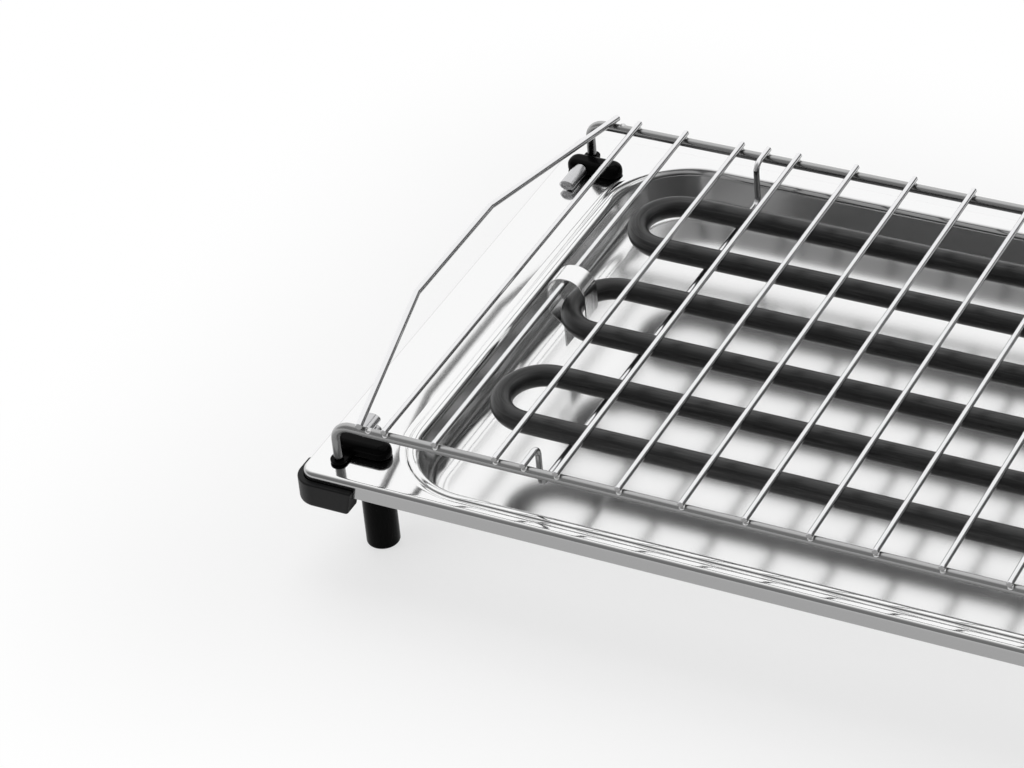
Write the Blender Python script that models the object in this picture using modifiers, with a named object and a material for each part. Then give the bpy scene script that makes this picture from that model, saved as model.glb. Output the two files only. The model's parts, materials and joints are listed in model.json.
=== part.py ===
"""Electric table grill.

A pressed steel tray stands on four feet. A welded wire grate stands over it on four swivelling levers, and
carries the heating element in two wire stirrups. The control housing holds the ends of the element and hangs
over the right end of the tray.

Metres, +Z up. The origin is on the table, below the middle of the whole grill. The long side runs along X,
the front is at -Y and the control housing is at +X.
"""
import math

import bmesh
import bpy
from mathutils import Vector

# Clearances
GAP = 0.0003
WELD_GAP = 0.0002
OVERRUN = 0.001
MERGE_DISTANCE = 0.00002

# Tray
TRAY_LENGTH = 0.4044
TRAY_DEPTH = 0.244
RIM_HEIGHT = 0.040
RIM_END_WIDTH = 0.0265
RIM_SIDE_WIDTH = 0.0028
SHEET = 0.0008
TRAY_CORNER_RADIUS = 0.006
LIP_DROP = 0.007
LIP_BEND_RADIUS = 0.002
PAN_CORNER_RADIUS = 0.037
PAN_DROP = 0.019
BEAD_STEP = 0.0007
SHOULDER_RADIUS = 0.0045
WALL_FOOT_RADIUS = 0.008
WALL_ANGLE = math.radians(82)

# Corner caps
CAP_WALL = 0.0023
CAP_INNER_WALL = 0.0039
CAP_BELOW_RIM = 0.0035
CAP_HEIGHT = 0.0105
CAP_LONG_ARM = 0.0231
CAP_SHORT_ARM = 0.013
CAP_END_SLANT = 0.0037

# Grate
RAIL_DIAMETER = 0.0038
RAIL_LIFT = 0.017
RAIL_INSET = 0.01375
LEG_INSET = 0.0121
RAIL_BEND_RADIUS = 0.0065
GRATE_SETBACK = 0.0033
WIRE_DIAMETER = 0.0024
WIRE_COUNT = 15
WIRE_OVERHANG = 0.0022
WIRE_FIELD_INSET = 0.0179
END_WIRE_INSET = 0.0218
HANDLE_DIAMETER = 0.0028
HANDLE_INSET = 0.0118
HANDLE_REACH = 0.0172
HANDLE_RISE = 0.0035
HANDLE_GRIP = 0.0625
HANDLE_BEND_RADIUS = 0.006

# Stirrups and element
STIRRUP_DIAMETER = 0.0024
STIRRUP_WIRE_COUNT = 4
STIRRUP_OFFSET = 0.0132
STIRRUP_REACH = 0.0105
STIRRUP_BEND_RADIUS = 0.0035
TUBE_DIAMETER = 0.0085
TUBE_LIFT = 0.00825
RUN_COUNT = 6
RUN_MARGIN = 0.0442
LOOP_WIRE_COUNT = 6
LOOP_OFFSET = 0.00165
RIGHT_LOOP_MARGIN = 0.0427
FEED_MARGIN = 0.0207
TERMINAL_SPREAD = 0.040
ELEMENT_SETBACK = 0.0006
TERMINAL_PIN_DIAMETER = 0.003
TERMINAL_PIN_LENGTH = 0.009

# Clip
CLIP_THICKNESS = 0.0006
CLIP_WIDTH = 0.010
CLIP_OFFSET = 0.00115
CLIP_PLAY = 0.0004
CLIP_LOOP_WIDTH = 0.0158
CLIP_LOOP_RADIUS = 0.0075
CLIP_RIGHT_DROP = 0.003
CLIP_LEFT_DROP = 0.0026
CLIP_TAIL_INSET = 0.0062
CLIP_TAIL_TOP_DROP = 0.008
CLIP_TAIL_DROP = 0.0176
CLIP_BEND_RADIUS = 0.0015
CLIP_TAIL_WIDTH = 0.009

# Levers, pins and feet
SWIVEL_INSET_X = 0.0102
SWIVEL_INSET_Y = 0.00755
LEVER_WIDTH = 0.009
LEVER_SETBACK = 0.001
LEVER_HEIGHT = 0.005
LEVER_REACH = 0.0164
LEVER_TAIL = 0.0026
LEVER_EDGE_RADIUS = 0.0007
LEVER_NOSE_RADIUS = 0.004
CLAW_END_WALL = 0.0015
TONGUE_RADIUS = 0.0033
TONGUE_HEIGHT = 0.0012
PIN_WIDTH = 0.0066
PIN_THICKNESS = 0.0042
PIN_LENGTH = 0.020
PIN_CHAMFER = 0.0005
PIN_OFFSET = 0.0094
FOOT_DIAMETER = 0.0129
FOOT_EDGE_RADIUS = 0.0012
COUNTERBORE_DIAMETER = 0.0084
COUNTERBORE_DEPTH = 0.024
SCREW_DIAMETER = 0.0035
SCREW_HEAD_DIAMETER = 0.0074
SCREW_HEAD_HEIGHT = 0.0026
SCREW_BITE = 0.004

# Control housing
HOUSING_CLEARANCE = 0.0013
HOUSING_LENGTH = 0.066
HOUSING_DEPTH = 0.104
HOUSING_BOTTOM = 0.008
COVER_RISE = 0.00975
HOUSING_WALL = 0.0024
HOUSING_CORNER_RADIUS = 0.008
HOUSING_EDGE_RADIUS = 0.002
SADDLE_REACH = 0.024
SADDLE_THICKNESS = 0.0022
SADDLE_DEPTH = 0.092
BOSS_DIAMETER = 0.0072
BOSS_INSET = 0.0077
BOSS_BORE_DEPTH = 0.014
HOUSING_SCREW_DIAMETER = 0.0024
FLANGE_DEPTH = 0.068
FLANGE_HEIGHT = 0.0125
FLANGE_THICKNESS = 0.0007
FLANGE_SCREW_INSET = 0.005
FLANGE_SCREW_DIAMETER = 0.0022
FLANGE_SCREW_HEAD_DIAMETER = 0.0034

# Controls
KNOB_X = 0.037
KNOB_Y = -0.016
KNOB_DIAMETER = 0.036
KNOB_SKIRT = 0.004
KNOB_TAPER = 0.001
GRIP_LENGTH = 0.031
GRIP_WIDTH = 0.009
GRIP_HEIGHT = 0.009
GRIP_EDGE_RADIUS = 0.001
SPINDLE_DIAMETER = 0.006
SPINDLE_IN_KNOB = 0.009
SPINDLE_IN_BODY = 0.010
THERMOSTAT_SIZE = 0.026
THERMOSTAT_HEIGHT = 0.016
THERMOSTAT_CORNER_RADIUS = 0.003
BUSH_DIAMETER = 0.010
LENS_DIAMETER = 0.008
LENS_FLANGE_DIAMETER = 0.0104
LENS_FLANGE_HEIGHT = 0.0012
LENS_DOME_HEIGHT = 0.0014
LENS_WALL = 0.0011
LENS_SHANK = 0.006
LENS_Y = 0.026
LAMP_LENGTH = 0.016
BLOCK_LENGTH = 0.022
BLOCK_DEPTH = 0.030
BLOCK_EDGE_RADIUS = 0.001
BLOCK_WELL_DIAMETER = 0.004
BLOCK_WELL_DEPTH = 0.005
BLOCK_WELL_PITCH = 0.009
LEAD_DIAMETER = 0.0018
LEAD_BEND_RADIUS = 0.002

# Appliance inlet
INLET_WIDTH = 0.028
INLET_HEIGHT = 0.020
INLET_BODY_DEPTH = 0.020
INLET_FLANGE_MARGIN = 0.003
INLET_FLANGE_THICKNESS = 0.002
INLET_CORNER_RADIUS = 0.003
INLET_WALL = 0.003
INLET_FLOOR = 0.004
INLET_RISE = 0.019
BLADE_WIDTH = 0.002
BLADE_HEIGHT = 0.004
BLADE_LENGTH = 0.017
CARRIER_THICKNESS = 0.002
BLADE_TAB = 0.006
BLADE_PITCH = 0.007
BLADE_STAGGER = 0.003

# Fineness
CORNER_STEPS = 7
ARC_STEPS = 4
LOOP_STEPS = 5
CLIP_STEPS = 20
ROUND_STEPS = 16
SMALL_ROUND_STEPS = 12
TUBE_BEVEL_STEPS = 4
WIRE_BEVEL_STEPS = 2

# Worked out from the sizes above
QUARTER = math.radians(90)
TRAY_HALF_X = TRAY_LENGTH / 2
TRAY_HALF_Y = TRAY_DEPTH / 2
PAN_HALF_X = TRAY_HALF_X - RIM_END_WIDTH
PAN_HALF_Y = TRAY_HALF_Y - RIM_SIDE_WIDTH
LEG_X = TRAY_HALF_X - LEG_INSET
RAIL_Y = TRAY_HALF_Y - RAIL_INSET
RAIL_HEIGHT = RIM_HEIGHT + RAIL_LIFT
TUBE_HEIGHT = RIM_HEIGHT + TUBE_LIFT
SWIVEL_X = LEG_X - SWIVEL_INSET_X
SWIVEL_Y = RAIL_Y - SWIVEL_INSET_Y
LEVER_BOTTOM = RIM_HEIGHT + GAP
TONGUE_TOP = LEVER_BOTTOM + TONGUE_HEIGHT
LEG_TIP = TONGUE_TOP + GAP
PIN_HEIGHT = LEVER_BOTTOM + PIN_THICKNESS / 2
LEVER_OUTER = LEVER_WIDTH / 2 - LEVER_SETBACK
LEVER_INNER = -LEVER_WIDTH / 2 - LEVER_SETBACK
CLAW_END = LEVER_OUTER - CLAW_END_WALL
WIRE_PITCH = 2 * (LEG_X - WIRE_FIELD_INSET) / (WIRE_COUNT - 1)
WIRE_HEIGHT = RAIL_HEIGHT + RAIL_DIAMETER / 2 + WELD_GAP + WIRE_DIAMETER / 2
STIRRUP_X = STIRRUP_WIRE_COUNT * WIRE_PITCH + STIRRUP_OFFSET
CROSSBAR_HEIGHT = TUBE_HEIGHT - TUBE_DIAMETER / 2 - GAP - STIRRUP_DIAMETER / 2
RUN_PITCH = 2 * (PAN_HALF_Y - RUN_MARGIN) / (RUN_COUNT - 1)
LEFT_LOOP_REACH = LOOP_WIRE_COUNT * WIRE_PITCH - LOOP_OFFSET
RIGHT_LOOP_REACH = PAN_HALF_X - RIGHT_LOOP_MARGIN
FEED_REACH = PAN_HALF_X - FEED_MARGIN
CLIP_HIGH = WIRE_HEIGHT + WIRE_DIAMETER / 2 + CLIP_PLAY
HOUSING_X = TRAY_HALF_X + HOUSING_CLEARANCE
HOUSING_END = HOUSING_X + HOUSING_LENGTH
HOUSING_HALF_Y = HOUSING_DEPTH / 2
HOUSING_TOP = TUBE_HEIGHT + COVER_RISE
ROOF_UNDERSIDE = HOUSING_TOP - HOUSING_WALL
FLOOR_TOP = HOUSING_BOTTOM + HOUSING_WALL
INLET_Z = HOUSING_BOTTOM + INLET_RISE
TUBE_END = HOUSING_X + HOUSING_WALL + OVERRUN
CAP_REACH = TRAY_HALF_X + GAP + CAP_WALL
TRAY_X = (CAP_REACH - HOUSING_END) / 2
CORNERS = {
    "front_left": (-1, -1),
    "front_right": (1, -1),
    "rear_left": (-1, 1),
    "rear_right": (1, 1),
}


def clear_scene():
    """Removes every object of the scene."""
    for item in list(bpy.data.objects):
        bpy.data.objects.remove(item, do_unlink=True)


def make_collection(name):
    collection = bpy.data.collections.new(name)
    bpy.context.scene.collection.children.link(collection)
    return collection


def make_material(name, colour, metallic, roughness):
    """A Principled material."""
    material = bpy.data.materials.new(name)
    material.use_nodes = True
    shader = material.node_tree.nodes["Principled BSDF"]
    shader.inputs["Base Color"].default_value = (*colour, 1)
    shader.inputs["Metallic"].default_value = metallic
    shader.inputs["Roughness"].default_value = roughness
    return material


clear_scene()
PARTS = make_collection("electric_table_grill")
CUTTERS = make_collection("cutters")
CENTRE = bpy.data.objects.new("tray_centre", None)
CENTRE.location = (TRAY_X, 0, 0)
PARTS.objects.link(CENTRE)

MIRROR_STEEL = make_material("mirror_steel", (0.72, 0.72, 0.72), 1, 0.08)
CHROME_WIRE = make_material("chrome_wire", (0.66, 0.66, 0.67), 1, 0.14)
ELEMENT_COAT = make_material("element_coat", (0.022, 0.022, 0.024), 0.2, 0.42)
BLACK_GLOSS = make_material("black_gloss", (0.006, 0.006, 0.006), 0, 0.16)
BLACK_SATIN = make_material("black_satin", (0.02, 0.02, 0.021), 0, 0.36)
SCREW_STEEL = make_material("screw_steel", (0.55, 0.55, 0.56), 1, 0.3)
CERAMIC = make_material("ceramic", (0.78, 0.75, 0.68), 0, 0.5)
LENS_RED = make_material("lens_red", (0.7, 0.04, 0.02), 0, 0.12)
LAMP_GLASS = make_material("lamp_glass", (0.8, 0.8, 0.78), 0, 0.05)
BRASS = make_material("brass", (0.72, 0.55, 0.26), 1, 0.25)
LEAD_COVER = make_material("lead_cover", (0.7, 0.68, 0.62), 0, 0.55)


def place(name, data, material, location=(0, 0, 0), parent=CENTRE):
    """Puts a mesh or curve into the scene as a part."""
    item = bpy.data.objects.new(name, data)
    item.location = location
    item.parent = parent
    data.materials.clear()
    data.materials.append(material)
    PARTS.objects.link(item)
    return item


def as_cutter(item):
    """Turns a part into a guide that only cuts or joins."""
    PARTS.objects.unlink(item)
    CUTTERS.objects.link(item)
    item.hide_render = True
    item.display_type = "WIRE"
    return item


def on_axis(name, location, items):
    """Hangs finished pieces, with what cuts or joins them, on an empty that stands on their joint's axis."""
    axis = bpy.data.objects.new(name, None)
    axis.parent = CENTRE
    axis.location = location
    PARTS.objects.link(axis)
    for item in items:
        tools = [modifier.object for modifier in item.modifiers if modifier.type == "BOOLEAN"]
        for piece in [item] + tools:
            piece.parent = axis
            piece.location -= axis.location


def combine(target, tool, operation="DIFFERENCE"):
    modifier = target.modifiers.new(operation.lower(), "BOOLEAN")
    modifier.object = as_cutter(tool)
    modifier.operation = operation
    modifier.solver = "EXACT"


def bevel(item, width, segments=2):
    modifier = item.modifiers.new("edges", "BEVEL")
    modifier.width = width
    modifier.segments = segments
    modifier.limit_method = "ANGLE"
    modifier.angle_limit = math.radians(40)


def arc(centre, radius, start, end, steps):
    """Points along an arc in a plane."""
    turns = [start + (end - start) * step / steps for step in range(steps + 1)]
    return [(centre[0] + radius * math.cos(turn), centre[1] + radius * math.sin(turn)) for turn in turns]


def rounded_path(corners, radius, steps):
    """A path through the corners with each bend rounded."""
    corners = [Vector(corner) for corner in corners]
    points = [corners[0]]
    for before, here, after in zip(corners, corners[1:], corners[2:]):
        back = (before - here).normalized()
        ahead = (after - here).normalized()
        half = back.angle(ahead) / 2
        centre = here + (back + ahead).normalized() * radius / math.sin(half)
        first = here + back * radius / math.tan(half) - centre
        last = here + ahead * radius / math.tan(half) - centre
        bend = first.angle(last)
        for step in range(steps + 1):
            share = step / steps
            spoke = (first * math.sin((1 - share) * bend) + last * math.sin(share * bend)) / math.sin(bend)
            if (centre + spoke - points[-1]).length > MERGE_DISTANCE:
                points.append(centre + spoke)
    return points + [corners[-1]]


def wire(name, points, diameter, material, resolution=WIRE_BEVEL_STEPS):
    """A round wire or tube along the points."""
    curve = bpy.data.curves.new(name, "CURVE")
    curve.dimensions = "3D"
    curve.bevel_depth = diameter / 2
    curve.bevel_resolution = resolution
    curve.use_fill_caps = True
    spline = curve.splines.new("POLY")
    spline.points.add(len(points) - 1)
    for point, place_at in zip(spline.points, points):
        point.co = (*place_at, 1)
    return place(name, curve, material)


def slab(name, outline, low, high, material, upright=False):
    """A flat outline given a thickness: from low to high along Z, or along Y where it stands upright."""
    curve = bpy.data.curves.new(name, "CURVE")
    curve.dimensions = "2D"
    curve.fill_mode = "BOTH"
    curve.extrude = (high - low) / 2
    spline = curve.splines.new("POLY")
    spline.points.add(len(outline) - 1)
    for point, (x, y) in zip(spline.points, outline):
        point.co = (x, y, 0, 1)
    spline.use_cyclic_u = True
    drawn = place(name, curve, material)
    middle = (low + high) / 2
    drawn.location = (0, middle, 0) if upright else (0, 0, middle)
    drawn.rotation_euler = (QUARTER if upright else 0, 0, 0)
    return solid_from_curve(drawn)


def solid_from_curve(drawn):
    """A curve as a closed mesh under the same name and in the same place."""
    bpy.context.view_layer.update()
    seen = drawn.evaluated_get(bpy.context.evaluated_depsgraph_get())
    data = bpy.data.meshes.new_from_object(seen)
    shape = bmesh.new()
    shape.from_mesh(data)
    bmesh.ops.remove_doubles(shape, verts=shape.verts, dist=MERGE_DISTANCE)
    bmesh.ops.recalc_face_normals(shape, faces=shape.faces)
    shape.to_mesh(data)
    shape.free()
    name, material = drawn.name, drawn.data.materials[0]
    location, rotation = drawn.location.copy(), drawn.rotation_euler.copy()
    bpy.data.objects.remove(drawn, do_unlink=True)
    solid = place(name, data, material, location)
    solid.rotation_euler = rotation
    smooth(solid)
    return solid


def cylinder(name, diameter, start, end, material, steps=SMALL_ROUND_STEPS):
    """A plain cylinder between two points."""
    start, end = Vector(start), Vector(end)
    shape = bmesh.new()
    bmesh.ops.create_cone(shape, cap_ends=True, segments=steps, radius1=diameter / 2,
                          radius2=diameter / 2, depth=(end - start).length)
    data = bpy.data.meshes.new(name)
    shape.to_mesh(data)
    shape.free()
    item = place(name, data, material, (start + end) / 2)
    item.rotation_euler = (end - start).to_track_quat("Z", "Y").to_euler()
    smooth(item)
    return item


def block(name, low, high, material):
    """A box between two corners."""
    low, high = Vector(low), Vector(high)
    shape = bmesh.new()
    bmesh.ops.create_cube(shape, size=1)
    bmesh.ops.scale(shape, vec=high - low, verts=shape.verts)
    data = bpy.data.meshes.new(name)
    shape.to_mesh(data)
    shape.free()
    return place(name, data, material, (low + high) / 2)


def turned(name, profile, location, material, steps=ROUND_STEPS, hollow=False):
    """A turned piece. The profile's points are (radius, height), down the outer side."""
    data = bpy.data.meshes.new(name)
    edges = [(index, index + 1) for index in range(len(profile) - 1)]
    if hollow:
        edges.append((len(profile) - 1, 0))
    data.from_pydata([(radius, 0, height) for radius, height in profile], edges, [])
    item = place(name, data, material, location)
    modifier = item.modifiers.new("turn", "SCREW")
    modifier.steps = steps
    modifier.render_steps = steps
    modifier.use_merge_vertices = True
    modifier.merge_threshold = MERGE_DISTANCE
    return item


def smooth(item):
    item.data.shade_smooth()
    item.data.set_sharp_from_angle(angle=math.radians(40))


def ring(half_x, half_y, radius, z, centre_x=0):
    """A rounded rectangle as points, counter-clockwise."""
    points = []
    for quarter, (side_x, side_y) in enumerate(((1, 1), (-1, 1), (-1, -1), (1, -1))):
        corner = (centre_x + side_x * (half_x - radius), side_y * (half_y - radius))
        bend = arc(corner, radius, QUARTER * quarter, QUARTER * (quarter + 1), CORNER_STEPS)
        points += [(x, y, z) for x, y in bend]
    return points


def loft(name, rings, material, closed=True):
    """Faces between rings with the same number of points, from the lowest or outermost one on."""
    shape = bmesh.new()
    loops = [[shape.verts.new(point) for point in points] for points in rings]
    for near, far in zip(loops, loops[1:]):
        for index in range(len(near)):
            after = (index + 1) % len(near)
            shape.faces.new((near[index], near[after], far[after], far[index]))
    shape.faces.new(loops[-1])
    if closed:
        shape.faces.new(list(reversed(loops[0])))
    data = bpy.data.meshes.new(name)
    shape.to_mesh(data)
    shape.free()
    item = place(name, data, material)
    smooth(item)
    return item


def tray_section():
    """The tray's section as (inset from the outer edge, height), from the lip's lower edge to the floor."""
    bend_centre = (LIP_BEND_RADIUS, RIM_HEIGHT - LIP_BEND_RADIUS)
    bend = arc(bend_centre, LIP_BEND_RADIUS, 2 * QUARTER, QUARTER, ARC_STEPS)
    return [(0, RIM_HEIGHT - LIP_DROP)] + bend


def pan_section():
    """The pan's section as (inset from the pan's edge, height), from the rim to the floor."""
    ledge = RIM_HEIGHT - BEAD_STEP
    points = [(0, RIM_HEIGHT), (BEAD_STEP, ledge)]
    shoulder_start = 2 * BEAD_STEP
    points += arc((shoulder_start, ledge - SHOULDER_RADIUS), SHOULDER_RADIUS,
                  QUARTER, QUARTER - WALL_ANGLE, ARC_STEPS)
    floor = RIM_HEIGHT - PAN_DROP
    wall_top_inset, wall_top = points[-1]
    wall_foot = floor + WALL_FOOT_RADIUS * (1 - math.cos(WALL_ANGLE))
    foot_start = wall_top_inset + (wall_top - wall_foot) / math.tan(WALL_ANGLE)
    foot_centre = (foot_start + WALL_FOOT_RADIUS * math.sin(WALL_ANGLE), floor + WALL_FOOT_RADIUS)
    points += arc(foot_centre, WALL_FOOT_RADIUS, -QUARTER - WALL_ANGLE, -QUARTER, ARC_STEPS)
    return points


def make_tray():
    rings = [ring(TRAY_HALF_X - inset, TRAY_HALF_Y - inset, TRAY_CORNER_RADIUS - inset, height)
             for inset, height in tray_section()]
    rings += [ring(PAN_HALF_X - inset, PAN_HALF_Y - inset, PAN_CORNER_RADIUS - inset, height)
              for inset, height in pan_section()]
    tray = loft("grease_tray", rings, MIRROR_STEEL, closed=False)
    wall = tray.modifiers.new("sheet", "SOLIDIFY")
    wall.thickness = SHEET
    wall.offset = -1
    wall.use_even_offset = True
    for corner in CORNERS:
        x, y = swivel(corner)
        hole = cylinder("rim_hole_" + corner, SCREW_DIAMETER + 2 * GAP, (x, y, RIM_HEIGHT - SHEET - OVERRUN),
                        (x, y, RIM_HEIGHT + OVERRUN), MIRROR_STEEL)
        combine(tray, hole)


def swivel(corner):
    """The place of a lever's axis, which is also its foot's axis."""
    side_x, side_y = CORNERS[corner]
    return side_x * SWIVEL_X, side_y * SWIVEL_Y - GRATE_SETBACK


def corner_band(corner, outer, inner):
    """Outline of a band along the tray's edge round a corner, between two offsets from that edge."""
    side_x, side_y = CORNERS[corner]
    middle = (TRAY_HALF_X - TRAY_CORNER_RADIUS, TRAY_HALF_Y - TRAY_CORNER_RADIUS)
    long_end = TRAY_HALF_X - CAP_LONG_ARM
    short_end = TRAY_HALF_Y - CAP_SHORT_ARM
    points = [(long_end, TRAY_HALF_Y + outer)]
    points += arc(middle, TRAY_CORNER_RADIUS + outer, QUARTER, 0, CORNER_STEPS)
    points += [(TRAY_HALF_X + outer, short_end), (TRAY_HALF_X + inner, short_end)]
    points += arc(middle, TRAY_CORNER_RADIUS + inner, 0, QUARTER, CORNER_STEPS)
    points += [(long_end, TRAY_HALF_Y + inner)]
    return [(side_x * x, side_y * y) for x, y in points]


def make_corner_cap(corner):
    """An L of plastic that grips the lip in a slot, with the end of its long arm cut at a slant."""
    side_x, side_y = CORNERS[corner]
    top = RIM_HEIGHT - CAP_BELOW_RIM
    bottom = top - CAP_HEIGHT
    slot_floor = RIM_HEIGHT - LIP_DROP - GAP
    slot_inner = -SHEET - GAP
    cap = slab("corner_cap_" + corner, corner_band(corner, GAP + CAP_WALL, slot_inner - CAP_INNER_WALL),
               bottom, top, BLACK_SATIN)
    lip_band = stretch_ends(corner_band(corner, GAP, slot_inner), corner)
    slot = slab("cap_slot_" + corner, lip_band, slot_floor, top + OVERRUN, BLACK_SATIN)
    combine(cap, slot)
    end = TRAY_HALF_X - CAP_LONG_ARM
    lean = CAP_END_SLANT / CAP_HEIGHT * OVERRUN
    wedge = [(end - CAP_WALL, top + OVERRUN), (end - lean, top + OVERRUN),
             (end + CAP_END_SLANT + lean, bottom - OVERRUN), (end - CAP_WALL, bottom - OVERRUN)]
    middle = side_y * TRAY_HALF_Y
    reach = 2 * (CAP_WALL + CAP_INNER_WALL)
    slant = slab("cap_slant_" + corner, [(side_x * x, z) for x, z in wedge],
                 middle - reach, middle + reach, BLACK_SATIN, upright=True)
    combine(cap, slant)


def stretch_ends(outline, corner):
    """Moves the two straight ends of a corner band past the band's own ends."""
    side_x, side_y = CORNERS[corner]
    half = len(outline) // 2
    moved = list(outline)
    for index in (0, len(outline) - 1):
        moved[index] = (outline[index][0] - side_x * OVERRUN, outline[index][1])
    for index in (half - 1, half):
        moved[index] = (outline[index][0], outline[index][1] - side_y * OVERRUN)
    return moved


def make_foot(corner):
    """A black cylinder with a counterbore for its screw."""
    top = RIM_HEIGHT - SHEET - GAP
    radius = FOOT_DIAMETER / 2
    inner = SCREW_DIAMETER / 2 + GAP
    bore = COUNTERBORE_DIAMETER / 2
    edge = arc((radius - FOOT_EDGE_RADIUS, FOOT_EDGE_RADIUS), FOOT_EDGE_RADIUS, 0, -QUARTER, ARC_STEPS)
    profile = [(inner, top), (radius, top)] + edge
    profile += [(bore, 0), (bore, COUNTERBORE_DEPTH), (inner, COUNTERBORE_DEPTH)]
    turned("foot_" + corner, profile, (*swivel(corner), 0), BLACK_GLOSS, hollow=True)


def make_foot_screw(corner):
    """A pan-head screw from below, through foot and rim into the lever."""
    head_top = COUNTERBORE_DEPTH - GAP
    tip = LEVER_BOTTOM + SCREW_BITE
    head = SCREW_HEAD_DIAMETER / 2
    shank = SCREW_DIAMETER / 2
    low = head_top - SCREW_HEAD_HEIGHT
    profile = [(0, tip), (shank, tip), (shank, head_top), (head, head_top), (head, low), (0, low)]
    turned("foot_screw_" + corner, profile, (*swivel(corner), 0), SCREW_STEEL, SMALL_ROUND_STEPS)


def pin_outline(pin_x, margin, sweep, steps):
    """The oval of a pin, seen along Y and widened by a margin, or a part of it from +X over the top."""
    wide, tall = PIN_WIDTH / 2 + margin, PIN_THICKNESS / 2 + margin
    turns = [sweep * step / steps for step in range(steps + 1)]
    return [(pin_x + wide * math.cos(turn), PIN_HEIGHT + tall * math.sin(turn)) for turn in turns]


def make_lever(corner):
    """A bar on the rim that swivels about a screw near its round end. Its claw grips a pin, and a leg of the
    grate stands on its tongue. Outlines are drawn with the claw at +X and the tongue at +Y, and turned to the
    corner."""
    side_x, side_y = CORNERS[corner]
    axis = swivel(corner)

    def drawn(points):
        return [(axis[0] + side_x * x, axis[1] + side_y * y) for x, y in points]

    half = LEVER_WIDTH / 2
    top = LEVER_BOTTOM + LEVER_HEIGHT
    nose = LEVER_NOSE_RADIUS
    outline = arc((-LEVER_TAIL, -LEVER_SETBACK), half, QUARTER, 3 * QUARTER, 2 * ARC_STEPS)
    outline += arc((LEVER_REACH - nose, LEVER_INNER + nose), nose, -QUARTER, 0, ARC_STEPS)
    outline += arc((LEVER_REACH - nose, LEVER_OUTER - nose), nose, 0, QUARTER, ARC_STEPS)
    lever = slab("rest_lever_" + corner, drawn(outline), LEVER_BOTTOM, top, BLACK_GLOSS)
    bevel(lever, LEVER_EDGE_RADIUS)
    tongue = arc((SWIVEL_INSET_X, SWIVEL_INSET_Y), TONGUE_RADIUS, 0, 2 * QUARTER, 2 * ARC_STEPS)
    root = CLAW_END - CLAW_END_WALL
    tongue += [(SWIVEL_INSET_X - TONGUE_RADIUS, root), (SWIVEL_INSET_X + TONGUE_RADIUS, root)]
    tongue_bottom = LEVER_BOTTOM + GAP / 2
    combine(lever, slab("tongue_" + corner, drawn(tongue), tongue_bottom, TONGUE_TOP, BLACK_GLOSS), "UNION")
    pin_x = axis[0] + side_x * PIN_OFFSET
    half_pin = PIN_WIDTH / 2 + GAP
    arch = pin_outline(pin_x, GAP, 2 * QUARTER, 2 * ARC_STEPS)
    arch += [(pin_x - half_pin, LEVER_BOTTOM - OVERRUN), (pin_x + half_pin, LEVER_BOTTOM - OVERRUN)]
    ends = sorted((axis[1] + side_y * CLAW_END, axis[1] + side_y * (LEVER_INNER - OVERRUN)))
    combine(lever, slab("claw_" + corner, arch, *ends, BLACK_GLOSS, upright=True))
    combine(lever, cylinder("lever_bore_" + corner, SCREW_DIAMETER + 2 * GAP, (*axis, LEVER_BOTTOM - OVERRUN),
                            (*axis, LEVER_BOTTOM + SCREW_BITE + GAP), BLACK_GLOSS))
    return lever


def make_pin(corner):
    """An oval steel pin in the claw, lying along the short side of the tray."""
    side_x, side_y = CORNERS[corner]
    x, y = swivel(corner)
    outer = y + side_y * (CLAW_END - GAP)
    outline = pin_outline(x + side_x * PIN_OFFSET, 0, 4 * QUARTER, ROUND_STEPS)[:-1]
    pin = slab("rest_pin_" + corner, outline, *sorted((outer, outer - side_y * PIN_LENGTH)), MIRROR_STEEL,
               upright=True)
    bevel(pin, PIN_CHAMFER, 1)
    return pin


def make_rail(name, side_y):
    """A thick wire along the long side, its ends bent down as legs."""
    y = side_y * RAIL_Y - GRATE_SETBACK
    corners = [(-LEG_X, y, LEG_TIP), (-LEG_X, y, RAIL_HEIGHT), (LEG_X, y, RAIL_HEIGHT), (LEG_X, y, LEG_TIP)]
    path = rounded_path(corners, RAIL_BEND_RADIUS, LOOP_STEPS)
    wire(name, path, RAIL_DIAMETER, CHROME_WIRE, TUBE_BEVEL_STEPS)


def wire_places():
    """The X of each cross wire: an even pitch, with the outermost two set in from the legs."""
    middle = (WIRE_COUNT - 1) // 2
    places = [(index - middle) * WIRE_PITCH for index in range(WIRE_COUNT)]
    places[0] = END_WIRE_INSET - LEG_X
    places[-1] = LEG_X - END_WIRE_INSET
    return places


def make_cross_wires():
    reach = RAIL_Y + WIRE_OVERHANG
    for number, x in enumerate(wire_places(), start=1):
        ends = [(x, side_y * reach - GRATE_SETBACK, WIRE_HEIGHT) for side_y in (-1, 1)]
        wire(f"grate_wire_{number:02d}", ends, WIRE_DIAMETER, CHROME_WIRE)


def make_handle(name, side_x):
    """A wire welded on the rails that bows outwards and a little up."""
    foot = LEG_X - HANDLE_INSET
    low = RAIL_HEIGHT + RAIL_DIAMETER / 2 + WELD_GAP + HANDLE_DIAMETER / 2
    high = low + HANDLE_RISE
    half = HANDLE_GRIP / 2
    reach = RAIL_Y + WIRE_OVERHANG
    corners = [(foot, -reach, low), (foot + HANDLE_REACH, -half, high),
               (foot + HANDLE_REACH, half, high), (foot, reach, low)]
    corners = [(side_x * x, y - GRATE_SETBACK, z) for x, y, z in corners]
    wire(name, rounded_path(corners, HANDLE_BEND_RADIUS, ARC_STEPS), HANDLE_DIAMETER, CHROME_WIRE)


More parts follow.
